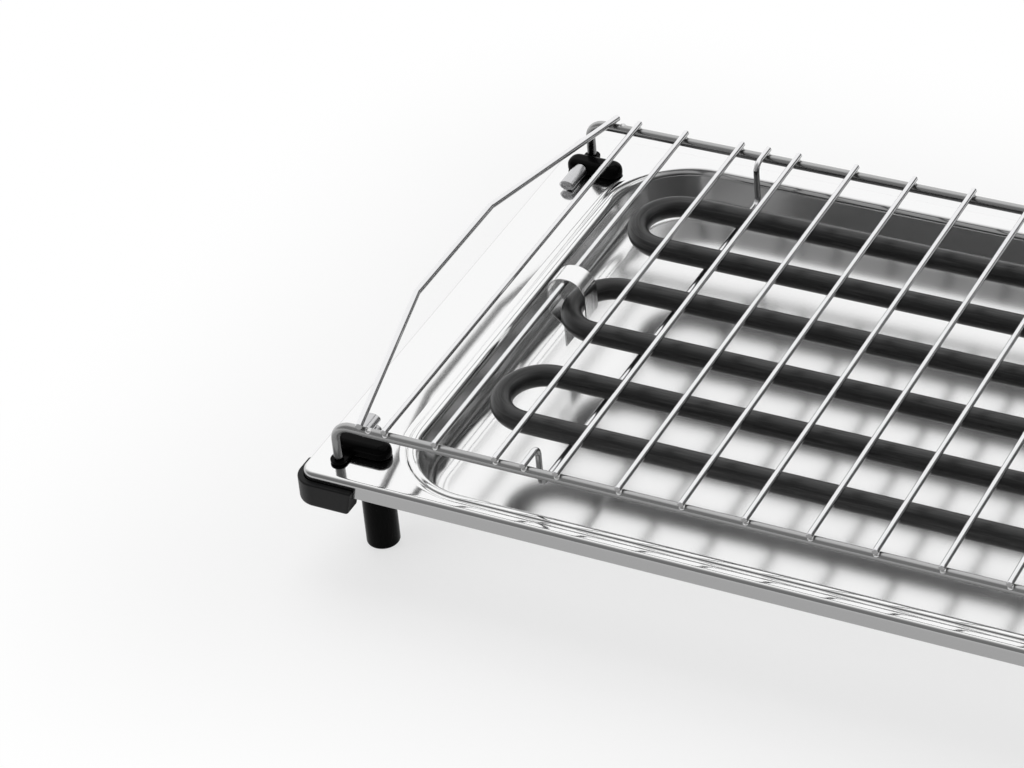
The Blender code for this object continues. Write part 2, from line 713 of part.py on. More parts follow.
def make_stirrup(name, side_x):
    """A thin wire that hangs from both rails and passes under every run of the element."""
    x = side_x * STIRRUP_X
    top = RAIL_HEIGHT + RAIL_DIAMETER / 2 + WELD_GAP + STIRRUP_DIAMETER / 2
    outer = RAIL_Y + WIRE_OVERHANG
    inner = RAIL_Y - STIRRUP_REACH
    corners = [(x, -outer, top), (x, -inner, top), (x, -inner, CROSSBAR_HEIGHT),
               (x, inner, CROSSBAR_HEIGHT), (x, inner, top), (x, outer, top)]
    corners = [(x, y - GRATE_SETBACK, z) for x, y, z in corners]
    wire(name, rounded_path(corners, STIRRUP_BEND_RADIUS, ARC_STEPS), STIRRUP_DIAMETER, CHROME_WIRE)


def run_places():
    """The Y of each run of the element, front to rear."""
    middle = (RUN_COUNT - 1) / 2
    return [(index - middle) * RUN_PITCH - ELEMENT_SETBACK for index in range(RUN_COUNT)]


def terminal_places():
    return [side_y * TERMINAL_SPREAD / 2 - ELEMENT_SETBACK for side_y in (-1, 1)]


def make_element():
    """One tube: from the front terminal along six runs and back to the rear terminal."""
    runs = run_places()
    front, rear = terminal_places()
    corners = [(TUBE_END, front), (FEED_REACH, front), (FEED_REACH, runs[0])]
    for index, (y, after) in enumerate(zip(runs, runs[1:])):
        turn = RIGHT_LOOP_REACH if index % 2 else -LEFT_LOOP_REACH
        corners += [(turn, y), (turn, after)]
    corners += [(FEED_REACH, runs[-1]), (FEED_REACH, rear), (TUBE_END, rear)]
    path = rounded_path([(x, y, TUBE_HEIGHT) for x, y in corners], RUN_PITCH / 2, LOOP_STEPS)
    wire("heating_element", path, TUBE_DIAMETER, ELEMENT_COAT, TUBE_BEVEL_STEPS)


def make_clip():
    """A spring strap over a cross wire and round the middle bend. Its end is bent down as a tail."""
    middle = -LEFT_LOOP_REACH - CLIP_OFFSET
    left, right = middle - CLIP_LOOP_WIDTH / 2, middle + CLIP_LOOP_WIDTH / 2
    top = CLIP_HIGH + CLIP_THICKNESS / 2
    waist = TUBE_HEIGHT
    loop = [(right, 0, waist - CLIP_RIGHT_DROP), (right, 0, top), (left, 0, top), (left, 0, waist)]
    tail_x = left + CLIP_TAIL_INSET
    tail = [(left, 0, waist), (left, 0, waist - CLIP_LEFT_DROP), (tail_x, 0, waist - CLIP_TAIL_TOP_DROP),
            (tail_x, 0, waist - CLIP_TAIL_DROP)]
    stations = rounded_path(loop, CLIP_LOOP_RADIUS, CLIP_STEPS // 2)[:-1]
    stations += rounded_path(tail, CLIP_BEND_RADIUS, CLIP_STEPS // 5)
    front = -CLIP_WIDTH / 2 - ELEMENT_SETBACK
    rear = front + CLIP_WIDTH
    edges = [((place.x, front, place.z), (place.x, rear, place.z)) for place in stations[:-1]]
    tip = stations[-1]
    edges.append(((tip.x, front, tip.z), (tip.x, front + CLIP_TAIL_WIDTH, tip.z)))
    shape = bmesh.new()
    pairs = [[shape.verts.new(point) for point in pair] for pair in edges]
    for (near_front, near_rear), (far_front, far_rear) in zip(pairs, pairs[1:]):
        shape.faces.new((near_front, near_rear, far_rear, far_front))
    bmesh.ops.recalc_face_normals(shape, faces=shape.faces)
    data = bpy.data.meshes.new("element_clip")
    shape.to_mesh(data)
    shape.free()
    clip = place("element_clip", data, MIRROR_STEEL)
    strap = clip.modifiers.new("strap", "SOLIDIFY")
    strap.thickness = CLIP_THICKNESS
    strap.offset = 0
    smooth(clip)


def make_terminal_pins():
    start = TUBE_END + GAP
    for side, y in zip(("front", "rear"), terminal_places()):
        cylinder("terminal_pin_" + side, TERMINAL_PIN_DIAMETER, (start, y, TUBE_HEIGHT),
                 (start + TERMINAL_PIN_LENGTH, y, TUBE_HEIGHT), SCREW_STEEL)


def housing_ring(inset, z):
    """A level outline of the control housing, set in from its outer face."""
    return ring(HOUSING_LENGTH / 2 - inset, HOUSING_HALF_Y - inset, HOUSING_CORNER_RADIUS - inset, z,
                HOUSING_X + HOUSING_LENGTH / 2)


def sheath_holes(target, name):
    """Cuts the two holes in which the element's ends enter."""
    for side, y in zip(("front", "rear"), terminal_places()):
        start = (HOUSING_X - OVERRUN - FLANGE_THICKNESS - GAP, y, TUBE_HEIGHT)
        end = (HOUSING_X + HOUSING_WALL + OVERRUN, y, TUBE_HEIGHT)
        combine(target, cylinder(f"{name}_{side}", TUBE_DIAMETER + 2 * GAP, start, end, BLACK_SATIN,
                                 ROUND_STEPS))


def boss_places():
    half = HOUSING_HALF_Y - BOSS_INSET
    return [(x, y) for x in (HOUSING_X + BOSS_INSET, HOUSING_END - BOSS_INSET) for y in (-half, half)]


def make_housing_base():
    """The lower shell, with the saddle that rests on the rim."""
    edge = arc((HOUSING_EDGE_RADIUS, HOUSING_BOTTOM + HOUSING_EDGE_RADIUS), HOUSING_EDGE_RADIUS,
               -QUARTER, -2 * QUARTER, ARC_STEPS)
    split = TUBE_HEIGHT - GAP / 2
    rings = [housing_ring(inset, height) for inset, height in edge + [(0, split)]]
    base = loft("housing_base", rings, BLACK_SATIN)
    saddle = block("saddle", (HOUSING_X - SADDLE_REACH, -SADDLE_DEPTH / 2, RIM_HEIGHT + GAP),
                   (HOUSING_X + HOUSING_WALL / 2, SADDLE_DEPTH / 2, RIM_HEIGHT + GAP + SADDLE_THICKNESS),
                   BLACK_SATIN)
    combine(base, saddle, "UNION")
    combine(base, loft("base_hollow", [housing_ring(HOUSING_WALL, FLOOR_TOP),
                                       housing_ring(HOUSING_WALL, split + OVERRUN)], BLACK_SATIN))
    sheath_holes(base, "base_notch")
    for number, (x, y) in enumerate(boss_places(), start=1):
        combine(base, cylinder(f"base_screw_hole_{number}", HOUSING_SCREW_DIAMETER + 2 * GAP,
                               (x, y, HOUSING_BOTTOM - OVERRUN), (x, y, FLOOR_TOP + OVERRUN), BLACK_SATIN))
    for number, y in enumerate(flange_screw_places(), start=1):
        combine(base, cylinder(f"flange_screw_hole_{number}", FLANGE_SCREW_DIAMETER + 2 * GAP,
                               (HOUSING_X - OVERRUN, y, flange_screw_height()),
                               (HOUSING_X + HOUSING_WALL + OVERRUN, y, flange_screw_height()), BLACK_SATIN))
    cut_low, cut_high = HOUSING_HALF_Y - HOUSING_WALL - OVERRUN, HOUSING_HALF_Y + OVERRUN
    combine(base, slab("inlet_opening", inlet_outline(GAP), cut_low, cut_high, BLACK_SATIN, upright=True))


def make_housing_cover():
    """The upper shell, with four screw bosses that reach down to the floor of the base."""
    edge = arc((HOUSING_EDGE_RADIUS, HOUSING_TOP - HOUSING_EDGE_RADIUS), HOUSING_EDGE_RADIUS,
               2 * QUARTER, QUARTER, ARC_STEPS)
    split = TUBE_HEIGHT + GAP / 2
    cover = loft("housing_cover", [housing_ring(inset, height) for inset, height in [(0, split)] + edge],
                 BLACK_SATIN)
    combine(cover, loft("cover_hollow", [housing_ring(HOUSING_WALL, split - OVERRUN),
                                         housing_ring(HOUSING_WALL, ROOF_UNDERSIDE)], BLACK_SATIN))
    sheath_holes(cover, "cover_notch")
    for number, (x, y) in enumerate(boss_places(), start=1):
        combine(cover, cylinder(f"boss_{number}", BOSS_DIAMETER, (x, y, FLOOR_TOP + GAP),
                                (x, y, ROOF_UNDERSIDE + HOUSING_WALL / 2), BLACK_SATIN), "UNION")
        combine(cover, cylinder(f"boss_bore_{number}", HOUSING_SCREW_DIAMETER + 2 * GAP,
                                (x, y, FLOOR_TOP - OVERRUN), (x, y, FLOOR_TOP + BOSS_BORE_DEPTH), BLACK_SATIN))
    x, y = knob_place()
    combine(cover, cylinder("bush_hole", BUSH_DIAMETER + 2 * GAP, (x, y, ROOF_UNDERSIDE - OVERRUN),
                            (x, y, HOUSING_TOP + OVERRUN), BLACK_SATIN, ROUND_STEPS))
    combine(cover, cylinder("lens_hole", LENS_DIAMETER + 2 * GAP, (x, LENS_Y, ROOF_UNDERSIDE - OVERRUN),
                            (x, LENS_Y, HOUSING_TOP + OVERRUN), BLACK_SATIN, ROUND_STEPS))


def flange_bottom():
    return RIM_HEIGHT + SADDLE_THICKNESS + 2 * GAP


def flange_screw_places():
    return [side_y * (FLANGE_DEPTH / 2 - FLANGE_SCREW_INSET) - ELEMENT_SETBACK for side_y in (-1, 1)]


def flange_screw_height():
    return flange_bottom() + FLANGE_SCREW_HEAD_DIAMETER / 2


def make_flange():
    """The plate that holds the element's ends against the housing."""
    outer = HOUSING_X - GAP
    low = flange_bottom()
    flange = block("element_flange",
                   (outer - FLANGE_THICKNESS, -FLANGE_DEPTH / 2 - ELEMENT_SETBACK, low),
                   (outer, FLANGE_DEPTH / 2 - ELEMENT_SETBACK, low + FLANGE_HEIGHT), MIRROR_STEEL)
    sheath_holes(flange, "flange_hole")
    height = flange_screw_height()
    for number, y in enumerate(flange_screw_places(), start=1):
        combine(flange, cylinder(f"flange_bore_{number}", FLANGE_SCREW_DIAMETER + 2 * GAP,
                                 (outer - FLANGE_THICKNESS - OVERRUN, y, height), (outer + OVERRUN, y, height),
                                 MIRROR_STEEL))


def knob_place():
    return HOUSING_X + KNOB_X, KNOB_Y


def make_thermostat():
    """A square body under the roof, with the bush that the spindle turns in."""
    x, y = knob_place()
    top = ROOF_UNDERSIDE - GAP
    half = THERMOSTAT_SIZE / 2
    outline = [(x + px, y + py) for px, py, _ in ring(half, half, THERMOSTAT_CORNER_RADIUS, 0)]
    body = slab("thermostat_body", outline, top - THERMOSTAT_HEIGHT, top, CERAMIC)
    combine(body, cylinder("bush", BUSH_DIAMETER, (x, y, top - OVERRUN), (x, y, HOUSING_TOP), CERAMIC,
                           ROUND_STEPS), "UNION")
    bottom = HOUSING_TOP - SPINDLE_IN_BODY
    combine(body, cylinder("spindle_bore", SPINDLE_DIAMETER + 2 * GAP, (x, y, bottom - GAP),
                           (x, y, HOUSING_TOP + OVERRUN), CERAMIC, ROUND_STEPS))


def make_knob():
    """A round skirt with a grip bar, and the spindle that it is pushed on."""
    x, y = knob_place()
    low = HOUSING_TOP + GAP
    radius = KNOB_DIAMETER / 2
    skirt_top = KNOB_SKIRT
    profile = [(0, skirt_top), (radius - 2 * KNOB_TAPER, skirt_top),
               (radius - KNOB_TAPER, skirt_top - KNOB_TAPER), (radius, 0), (0, 0)]
    knob = turned("control_knob", profile, (x, y, low), BLACK_GLOSS, steps=2 * ROUND_STEPS)
    bar = block("grip", (x - GRIP_WIDTH / 2, y - GRIP_LENGTH / 2, low + KNOB_SKIRT / 2),
                (x + GRIP_WIDTH / 2, y + GRIP_LENGTH / 2, low + KNOB_SKIRT + GRIP_HEIGHT), BLACK_GLOSS)
    bevel(bar, GRIP_EDGE_RADIUS)
    combine(knob, bar, "UNION")
    spindle_top = HOUSING_TOP + SPINDLE_IN_KNOB
    combine(knob, cylinder("knob_bore", SPINDLE_DIAMETER + 2 * GAP, (x, y, low - OVERRUN),
                           (x, y, spindle_top + GAP), BLACK_GLOSS, ROUND_STEPS))
    spindle = cylinder("thermostat_spindle", SPINDLE_DIAMETER, (x, y, HOUSING_TOP - SPINDLE_IN_BODY),
                       (x, y, spindle_top), SCREW_STEEL, ROUND_STEPS)
    on_axis("knob_axis", (x, y, low), [knob, spindle])


def make_pilot_lamp():
    """A domed lens in the roof and the lamp tube inside it."""
    x, _ = knob_place()
    seat = HOUSING_TOP + GAP
    radius = LENS_DIAMETER / 2
    flange = LENS_FLANGE_DIAMETER / 2
    flange_top = seat + LENS_FLANGE_HEIGHT
    inner = radius - LENS_WALL
    dome = arc((0, 0), 1, QUARTER, 0, ARC_STEPS)
    profile = [(0, flange_top + LENS_DOME_HEIGHT)]
    profile += [(flange * across, flange_top + LENS_DOME_HEIGHT * up) for across, up in dome[1:]]
    profile += [(flange, seat), (radius, seat), (radius, seat - LENS_SHANK),
                (inner, seat - LENS_SHANK), (inner, seat - LENS_WALL), (0, seat - LENS_WALL)]
    turned("pilot_lamp_lens", profile, (x, LENS_Y, 0), LENS_RED)
    top = seat - LENS_WALL - GAP
    cylinder("pilot_lamp", 2 * (inner - GAP), (x, LENS_Y, top - LAMP_LENGTH), (x, LENS_Y, top), LAMP_GLASS)


def block_place():
    return HOUSING_X + HOUSING_LENGTH / 2, 0


def block_top():
    """The terminal block's top, low enough for the inlet's lead to pass over it."""
    return INLET_Z - BLADE_STAGGER - LEAD_DIAMETER


def make_terminal_block():
    """A ceramic block on the floor of the base, with three wells for the leads."""
    x, y = block_place()
    top = block_top()
    body = block("terminal_block", (x - BLOCK_LENGTH / 2, y - BLOCK_DEPTH / 2, FLOOR_TOP + GAP),
                 (x + BLOCK_LENGTH / 2, y + BLOCK_DEPTH / 2, top), CERAMIC)
    bevel(body, BLOCK_EDGE_RADIUS, 1)
    for number in (-1, 0, 1):
        well = (x, y + number * BLOCK_WELL_PITCH)
        combine(body, cylinder(f"block_well_{number + 2}", BLOCK_WELL_DIAMETER,
                               (*well, top - BLOCK_WELL_DEPTH), (*well, top + OVERRUN), CERAMIC))


def inlet_outline(margin):
    """The inlet's outline in X and Z, grown by a margin."""
    x = HOUSING_X + HOUSING_LENGTH / 2
    points = ring(INLET_WIDTH / 2 + margin, INLET_HEIGHT / 2 + margin, INLET_CORNER_RADIUS + margin, 0)
    return [(x + px, INLET_Z + pz) for px, pz, _ in points]


def blade_places():
    """The middles of the three blades in X and Z; the earth blade stands higher."""
    x = HOUSING_X + HOUSING_LENGTH / 2
    return [(x + number * BLADE_PITCH, INLET_Z + (BLADE_STAGGER if number == 0 else -BLADE_STAGGER))
            for number in (-1, 0, 1)]


def blade_box(x, z, margin):
    half_x, half_z = BLADE_WIDTH / 2 + margin, BLADE_HEIGHT / 2 + margin
    return x - half_x, x + half_x, z - half_z, z + half_z


def make_inlet():
    """The appliance inlet in the rear wall, with a recess that opens to the rear, and its three blades."""
    face = HOUSING_HALF_Y + GAP
    front = HOUSING_HALF_Y - INLET_BODY_DEPTH
    inlet = slab("inlet_socket", inlet_outline(0), front, face + INLET_FLANGE_THICKNESS / 2, BLACK_GLOSS,
                 upright=True)
    combine(inlet, slab("inlet_flange", inlet_outline(INLET_FLANGE_MARGIN), face,
                        face + INLET_FLANGE_THICKNESS, BLACK_GLOSS, upright=True), "UNION")
    floor = front + INLET_FLOOR
    combine(inlet, slab("inlet_recess", inlet_outline(-INLET_WALL / 2), floor,
                        face + INLET_FLANGE_THICKNESS + OVERRUN, BLACK_GLOSS, upright=True))
    carrier_rear = front - GAP
    carrier_front = carrier_rear - CARRIER_THICKNESS
    carrier = slab("inlet_contacts", inlet_outline(-INLET_WALL), carrier_front, carrier_rear, BRASS,
                   upright=True)
    for number, (x, z) in enumerate(blade_places(), start=1):
        left, right, low, high = blade_box(x, z, GAP)
        combine(inlet, block(f"blade_slot_{number}", (left, front - OVERRUN, low),
                             (right, floor + OVERRUN, high), BLACK_GLOSS))
        left, right, low, high = blade_box(x, z, 0)
        combine(carrier, block(f"blade_{number}", (left, carrier_front - BLADE_TAB, low),
                               (right, carrier_front + BLADE_LENGTH, high), BRASS), "UNION")


def make_leads():
    """Three covered leads: element to thermostat, element to block and inlet to block. The upper one crosses
    the block two lead diameters above the lower one."""
    front, rear = terminal_places()
    knob_x, _ = knob_place()
    block_x, block_y = block_place()
    pin_x = TUBE_END + GAP + TERMINAL_PIN_LENGTH + GAP
    well_floor = block_top() - BLOCK_WELL_DEPTH + GAP
    upper = block_top() + 3 * LEAD_DIAMETER
    mid_x = (pin_x + block_x) / 2
    rear_well = block_y + BLOCK_WELL_PITCH
    thermostat_lead = [(pin_x, front, TUBE_HEIGHT), (knob_x - THERMOSTAT_SIZE / 2 - GAP, front, TUBE_HEIGHT)]
    element_lead = [(pin_x, rear, TUBE_HEIGHT), (mid_x, rear, TUBE_HEIGHT), (mid_x, rear, upper),
                    (mid_x, rear_well, upper), (block_x, rear_well, upper), (block_x, rear_well, well_floor)]
    blade_x, blade_z = blade_places()[0]
    tab = HOUSING_HALF_Y - INLET_BODY_DEPTH - GAP - CARRIER_THICKNESS - BLADE_TAB - GAP
    inlet_lead = [(blade_x, tab, blade_z), (blade_x, block_y, blade_z), (block_x, block_y, blade_z),
                  (block_x, block_y, well_floor)]
    wire("lead_thermostat", thermostat_lead, LEAD_DIAMETER, LEAD_COVER)
    wire("lead_element", rounded_path(element_lead, LEAD_BEND_RADIUS, ARC_STEPS), LEAD_DIAMETER, LEAD_COVER)
    wire("lead_inlet", rounded_path(inlet_lead, LEAD_BEND_RADIUS, ARC_STEPS), LEAD_DIAMETER, LEAD_COVER)


make_tray()
for corner_name in CORNERS:
    make_corner_cap(corner_name)
    make_foot(corner_name)
    make_foot_screw(corner_name)
    rest = [make_lever(corner_name), make_pin(corner_name)]
    on_axis("swivel_" + corner_name, (*swivel(corner_name), LEVER_BOTTOM), rest)
make_rail("grate_rail_front", -1)
make_rail("grate_rail_rear", 1)
make_cross_wires()
make_handle("grate_handle_left", -1)
make_handle("grate_handle_right", 1)
make_stirrup("element_stirrup_left", -1)
make_stirrup("element_stirrup_right", 1)
make_element()
make_clip()
make_terminal_pins()
make_housing_base()
make_housing_cover()
make_flange()
make_thermostat()
make_knob()
make_pilot_lamp()
make_terminal_block()
make_inlet()
make_leads()
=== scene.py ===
"""Looks of an electric table grill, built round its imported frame.

Metres, in the frame's own place: +X towards the control housing, +Y towards the rear, +Z up.
"""
import json
import math

import bmesh
import bpy
from bpy.props import FloatProperty, FloatVectorProperty, IntProperty, PointerProperty
from mathutils import Matrix, Quaternion, Vector, noise


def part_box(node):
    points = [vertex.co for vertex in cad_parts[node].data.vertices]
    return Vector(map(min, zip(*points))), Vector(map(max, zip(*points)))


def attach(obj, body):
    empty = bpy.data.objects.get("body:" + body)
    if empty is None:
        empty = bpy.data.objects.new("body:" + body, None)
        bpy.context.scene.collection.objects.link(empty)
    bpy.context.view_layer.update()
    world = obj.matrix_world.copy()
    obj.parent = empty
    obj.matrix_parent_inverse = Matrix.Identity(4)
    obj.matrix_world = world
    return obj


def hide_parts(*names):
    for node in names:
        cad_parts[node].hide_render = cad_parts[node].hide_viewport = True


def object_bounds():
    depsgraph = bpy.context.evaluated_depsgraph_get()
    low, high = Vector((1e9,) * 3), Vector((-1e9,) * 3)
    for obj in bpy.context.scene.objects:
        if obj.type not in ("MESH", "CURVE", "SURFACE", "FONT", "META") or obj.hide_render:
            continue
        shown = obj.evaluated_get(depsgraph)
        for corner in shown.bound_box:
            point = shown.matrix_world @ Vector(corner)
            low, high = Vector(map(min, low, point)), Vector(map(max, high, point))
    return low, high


bl_info = {
    "name": "Electric Table Grill",
    "version": (1, 0, 0),
    "blender": (4, 5, 0),
    "location": "View3D > Sidebar > Grill",
    "description": "Dresses the frame of an electric table grill",
    "category": "Object",
}

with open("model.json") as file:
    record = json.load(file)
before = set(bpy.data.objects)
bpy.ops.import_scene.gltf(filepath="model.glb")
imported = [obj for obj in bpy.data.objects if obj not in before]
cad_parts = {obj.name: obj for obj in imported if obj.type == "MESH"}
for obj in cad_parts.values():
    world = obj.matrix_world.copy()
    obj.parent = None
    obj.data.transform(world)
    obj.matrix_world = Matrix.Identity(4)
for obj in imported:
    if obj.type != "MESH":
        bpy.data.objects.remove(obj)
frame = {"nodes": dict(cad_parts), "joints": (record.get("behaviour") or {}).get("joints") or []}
CAD_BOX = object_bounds()
QUARTER = math.radians(90)


def box_of(node):
    """The low corner, the high corner and the middle of a node's box."""
    low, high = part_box(node)
    return low, high, (low + high) / 2


# Places read from the frame
TRAY_LOW, TRAY_HIGH, TRAY_MIDDLE = box_of("grease_tray")
TRAY_HALF = (TRAY_HIGH - TRAY_LOW) / 2
RIM_TOP = TRAY_HIGH.z
BASE_LOW, BASE_HIGH, _ = box_of("housing_base")
COVER_LOW, COVER_HIGH, COVER_MIDDLE = box_of("housing_cover")
CORNERS = {"front_left": (-1, -1), "front_right": (1, -1), "rear_left": (-1, 1), "rear_right": (1, 1)}
WIRES = sorted(name for name in frame["nodes"] if name.startswith("grate_wire_"))

# Clearances and fineness shared by the pieces
GAP = 0.0003
OVERRUN = 0.001
MERGE_DISTANCE = 0.00001
TUBE_BORE = 0.0091
CORNER_STEPS = 20
ARC_STEPS = 8
SHORT_ARC_STEPS = 4
DOME_STEPS = 3
FINE_STEPS = 48
HOLE_STEPS = 24


def setting(name, description, default, **kind):
    return FloatProperty(name=name, description=description, default=default, **kind)


def metres(name, description, default):
    return setting(name, description, default, unit="LENGTH")


def fraction(name, description, default):
    return setting(name, description, default, min=0, max=1, subtype="FACTOR")


def tint(name, description, *tones):
    """A colour; one tone stands for a grey."""
    default = tones * 3 if len(tones) == 1 else tones
    return FloatVectorProperty(name=name, description=description, default=default, subtype="COLOR")


class GrillTraySettings(bpy.types.PropertyGroup):
    """Sizes of the pressed tray that its box doesn't give."""
    sheet: metres("Sheet", "Thickness of the steel sheet", 0.0008)
    corner: metres("Corner", "Radius of the tray's corners", 0.006)
    lip_drop: metres("Lip drop", "How far the lip hangs", 0.007)
    lip_bend: metres("Lip bend", "Outer radius of the lip's bend", 0.002)
    pan_length: metres("Pan length", "Length of the pan's opening", 0.3514)
    pan_depth: metres("Pan depth", "Front to rear size of the pan's opening", 0.2384)
    pan_corner: metres("Pan corner", "Radius of the opening's corners", 0.037)
    dip: metres("Dip", "Depth of the rim's shallow dip outside the bead", 0.0004)
    bead: metres("Bead", "Height of the bead round the pan", 0.00065)
    bead_top: metres("Bead top", "Flat width on the bead", 0.0003)
    shoulder: metres("Shoulder", "Radius between bead and wall", 0.0037)
    foot: metres("Foot", "Radius between wall and floor", 0.008)
    wall_angle: setting("Wall angle", "Slope of the pan's wall", math.radians(82), subtype="ANGLE")


class GrillSteelSettings(bpy.types.PropertyGroup):
    """The finish of the polished steel and of the chromed wire, with darker tones painted on them as shade.
    """
    steel: tint("Steel", "Colour of polished steel", 0.94)
    # drawn: a darker steel tone painted on the pan's walls as shade; the welds also take it as their grey
    drawn: tint("Wall shade and weld steel", "Colour of the duller drawn walls of the pan", 0.74)
    # lip: painted shade, the steel darkened on the hanging lip in place of the shadowed floor it reflects
    lip: tint("Lip", "Colour of the dull lip", 0.4)
    # groove: painted shade, a dark line on the bead's slopes and on the bend at the tray's edge
    groove: tint("Groove", "Colour of the fine steps round the pan", 0.4)
    chrome: tint("Chrome", "Colour of chromed wire", 0.86, 0.86, 0.87)
    # rail: a darker copy of the chrome, painted shade for the dark the rails reflect
    rail: tint("Rail", "Colour of the duller rails", 0.46)
    # under: painted shade, the colour the wires darken to where they face down
    under: tint("Underside", "Colour of the wires' undersides", 0.3)
    rim_roughness: fraction("Rim roughness", "Gloss of the rim", 0.09)
    pan_roughness: fraction("Pan roughness", "Gloss of the pan's floor and walls", 0.16)


class GrillWireSettings(bpy.types.PropertyGroup):
    """Shapes of the welded wires."""
    sides: IntProperty(name="Sides", description="Sides round a wire", default=20, min=6)
    end_dome: metres("End dome", "Length of the rounding at a wire's end", 0.0004)
    weld: metres("Weld", "Width of a weld", 0.0026)


class GrillElementSettings(bpy.types.PropertyGroup):
    """The heating element's finish."""
    coat: tint("Coat", "Colour of the element's coating", 0.008, 0.008, 0.0083)
    streak: tint("Streak", "Colour of its lighter streaks", 0.05)
    sides: IntProperty(name="Sides", description="Sides round the tube", default=40, min=8)


class GrillPlasticSettings(bpy.types.PropertyGroup):
    """The finish of the black plastics."""
    gloss_black: tint("Gloss black", "Colour of levers, feet and knob", 0.002)
    satin_black: tint("Satin black", "Colour of caps and housing", 0.0045, 0.0045, 0.0047)
    edge: metres("Edge", "Rounding of the mouldings' edges", 0.0007)


class GrillStageSettings(bpy.types.PropertyGroup):
    """The floor, the lamps and the camera."""
    floor: tint("Floor", "Colour of the floor", 0.86)
    floor_size: metres("Floor size", "Side of the floor", 24)
    key_power: setting("Key power", "Power of the large lamp", 11, unit="POWER")
    fill_power: setting("Fill power", "Power of the side lamp", 5, unit="POWER")
    sky: setting("Sky", "Strength of the surrounding light", 0.62, min=0)
    dim: fraction("Dim", "Brightness of the room's front, as metal shows it", 0.3)
    dark: fraction("Dark", "Brightness of the room's right side, as metal shows it", 0.1)
    near_white: fraction("Near white", "Share of plain white in the floor at the grill", 0.62)
    lens: setting("Lens", "Focal length of the camera in millimetres", 138.3)


SETTINGS = {
    "grill_tray": GrillTraySettings,
    "grill_steel": GrillSteelSettings,
    "grill_wire": GrillWireSettings,
    "grill_element": GrillElementSettings,
    "grill_plastic": GrillPlasticSettings,
    "grill_stage": GrillStageSettings,
}


def settings(group):
    return getattr(bpy.context.scene, "grill_" + group)


def collection(name):
    """The collection of that name, made when it is first asked for."""
    found = bpy.data.collections.get(name)
    if found is None:
        found = bpy.data.collections.new(name)
        bpy.context.scene.collection.children.link(found)
    return found


def put(name, shape, finish=None, location=(0, 0, 0)):
    """A bmesh or a curve as a piece with its finish, or as a tool without one."""
    data = shape
    if isinstance(shape, bmesh.types.BMesh):
        data = bpy.data.meshes.new(name)
        shape.to_mesh(data)
        shape.free()
    item = bpy.data.objects.new(name, data)
    item.location = location
    if finish:
        data.materials.append(finish_named(finish))
    collection("grill").objects.link(item)
    return item


def settle(item, body, slot, *nodes):
    """The piece rides on its body and stands for the nodes, which are hidden; the slot argument is not used.
    """
    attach(item, body)
    if nodes:
        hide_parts(*nodes)


def smooth(item, angle=32):
    """Smooth shading that stops at edges sharper than the angle."""
    item.data.shade_smooth()
    item.data.set_sharp_from_angle(angle=math.radians(angle))
    normals = item.modifiers.new("flat faces stay flat", "WEIGHTED_NORMAL")
    normals.keep_sharp = True


def bake(item, angle=32):
    """Fixes the modifiers' result in the mesh, removes their tools and shades it."""
    bpy.context.view_layer.update()
    seen = item.evaluated_get(bpy.context.evaluated_depsgraph_get())
    data = bpy.data.meshes.new_from_object(seen)
    tools = [modifier.object for modifier in item.modifiers if modifier.type == "BOOLEAN"]
    item.modifiers.clear()
    item.data = data
    for tool in tools:
        bpy.data.objects.remove(tool, do_unlink=True)
    smooth(item, angle)
    return item


def combine(target, tool, operation="DIFFERENCE"):
    modifier = target.modifiers.new(operation.lower(), "BOOLEAN")
    modifier.object = tool
    modifier.operation = operation
    modifier.solver = "EXACT"


def bevel(item, width, segments=4, angle=40):
    modifier = item.modifiers.new("rounded edges", "BEVEL")
    modifier.width = width
    modifier.segments = segments
    modifier.limit_method = "ANGLE"
    modifier.angle_limit = math.radians(angle)


def thicken(item, thickness, offset):
    modifier = item.modifiers.new("sheet", "SOLIDIFY")
    modifier.thickness = thickness
    modifier.offset = offset
    return modifier


def arc(centre, radius, start, end, steps=ARC_STEPS):
    """Points along an arc in a plane."""
    turns = [start + (end - start) * step / steps for step in range(steps + 1)]
    return [(centre[0] + radius * math.cos(turn), centre[1] + radius * math.sin(turn)) for turn in turns]


def crown(radius, height, rise):
    """A domed end for a turned profile, from the axis to its edge."""
    return [(radius * math.sin(turn), height + rise * math.cos(turn))
            for turn in (QUARTER * step / ARC_STEPS for step in range(ARC_STEPS + 1))]


def s_bend(start, rise, slope):
    """Two arcs that lead from one level of a section to the next."""
    side = math.copysign(1, rise)
    radius = abs(rise) / 2 / (1 - math.cos(slope))
    inset, height = start
    first = arc((inset, height + side * radius), radius,
                -side * QUARTER, side * (slope - QUARTER), SHORT_ARC_STEPS)
    last = arc((inset + 2 * radius * math.sin(slope), height + rise - side * radius), radius,
               side * (QUARTER + slope), side * QUARTER, SHORT_ARC_STEPS)
    return first + last[1:]


def rounded_path(corners, radius, steps=ARC_STEPS):
    """A path through the corners with each bend rounded."""
    corners = [Vector(corner) for corner in corners]
    points = [corners[0]]
    for before, here, after in zip(corners, corners[1:], corners[2:]):
        back = (before - here).normalized()
        ahead = (after - here).normalized()
        half = back.angle(ahead) / 2
        centre = here + (back + ahead).normalized() * radius / math.sin(half)
        first = here + back * radius / math.tan(half) - centre
        last = here + ahead * radius / math.tan(half) - centre
        bend = first.angle(last)
        for step in range(steps + 1):
            share = step / steps
            spoke = (first * math.sin((1 - share) * bend) + last * math.sin(share * bend)) / math.sin(bend)
            if (centre + spoke - points[-1]).length > MERGE_DISTANCE:
                points.append(centre + spoke)
    return points + [corners[-1]]


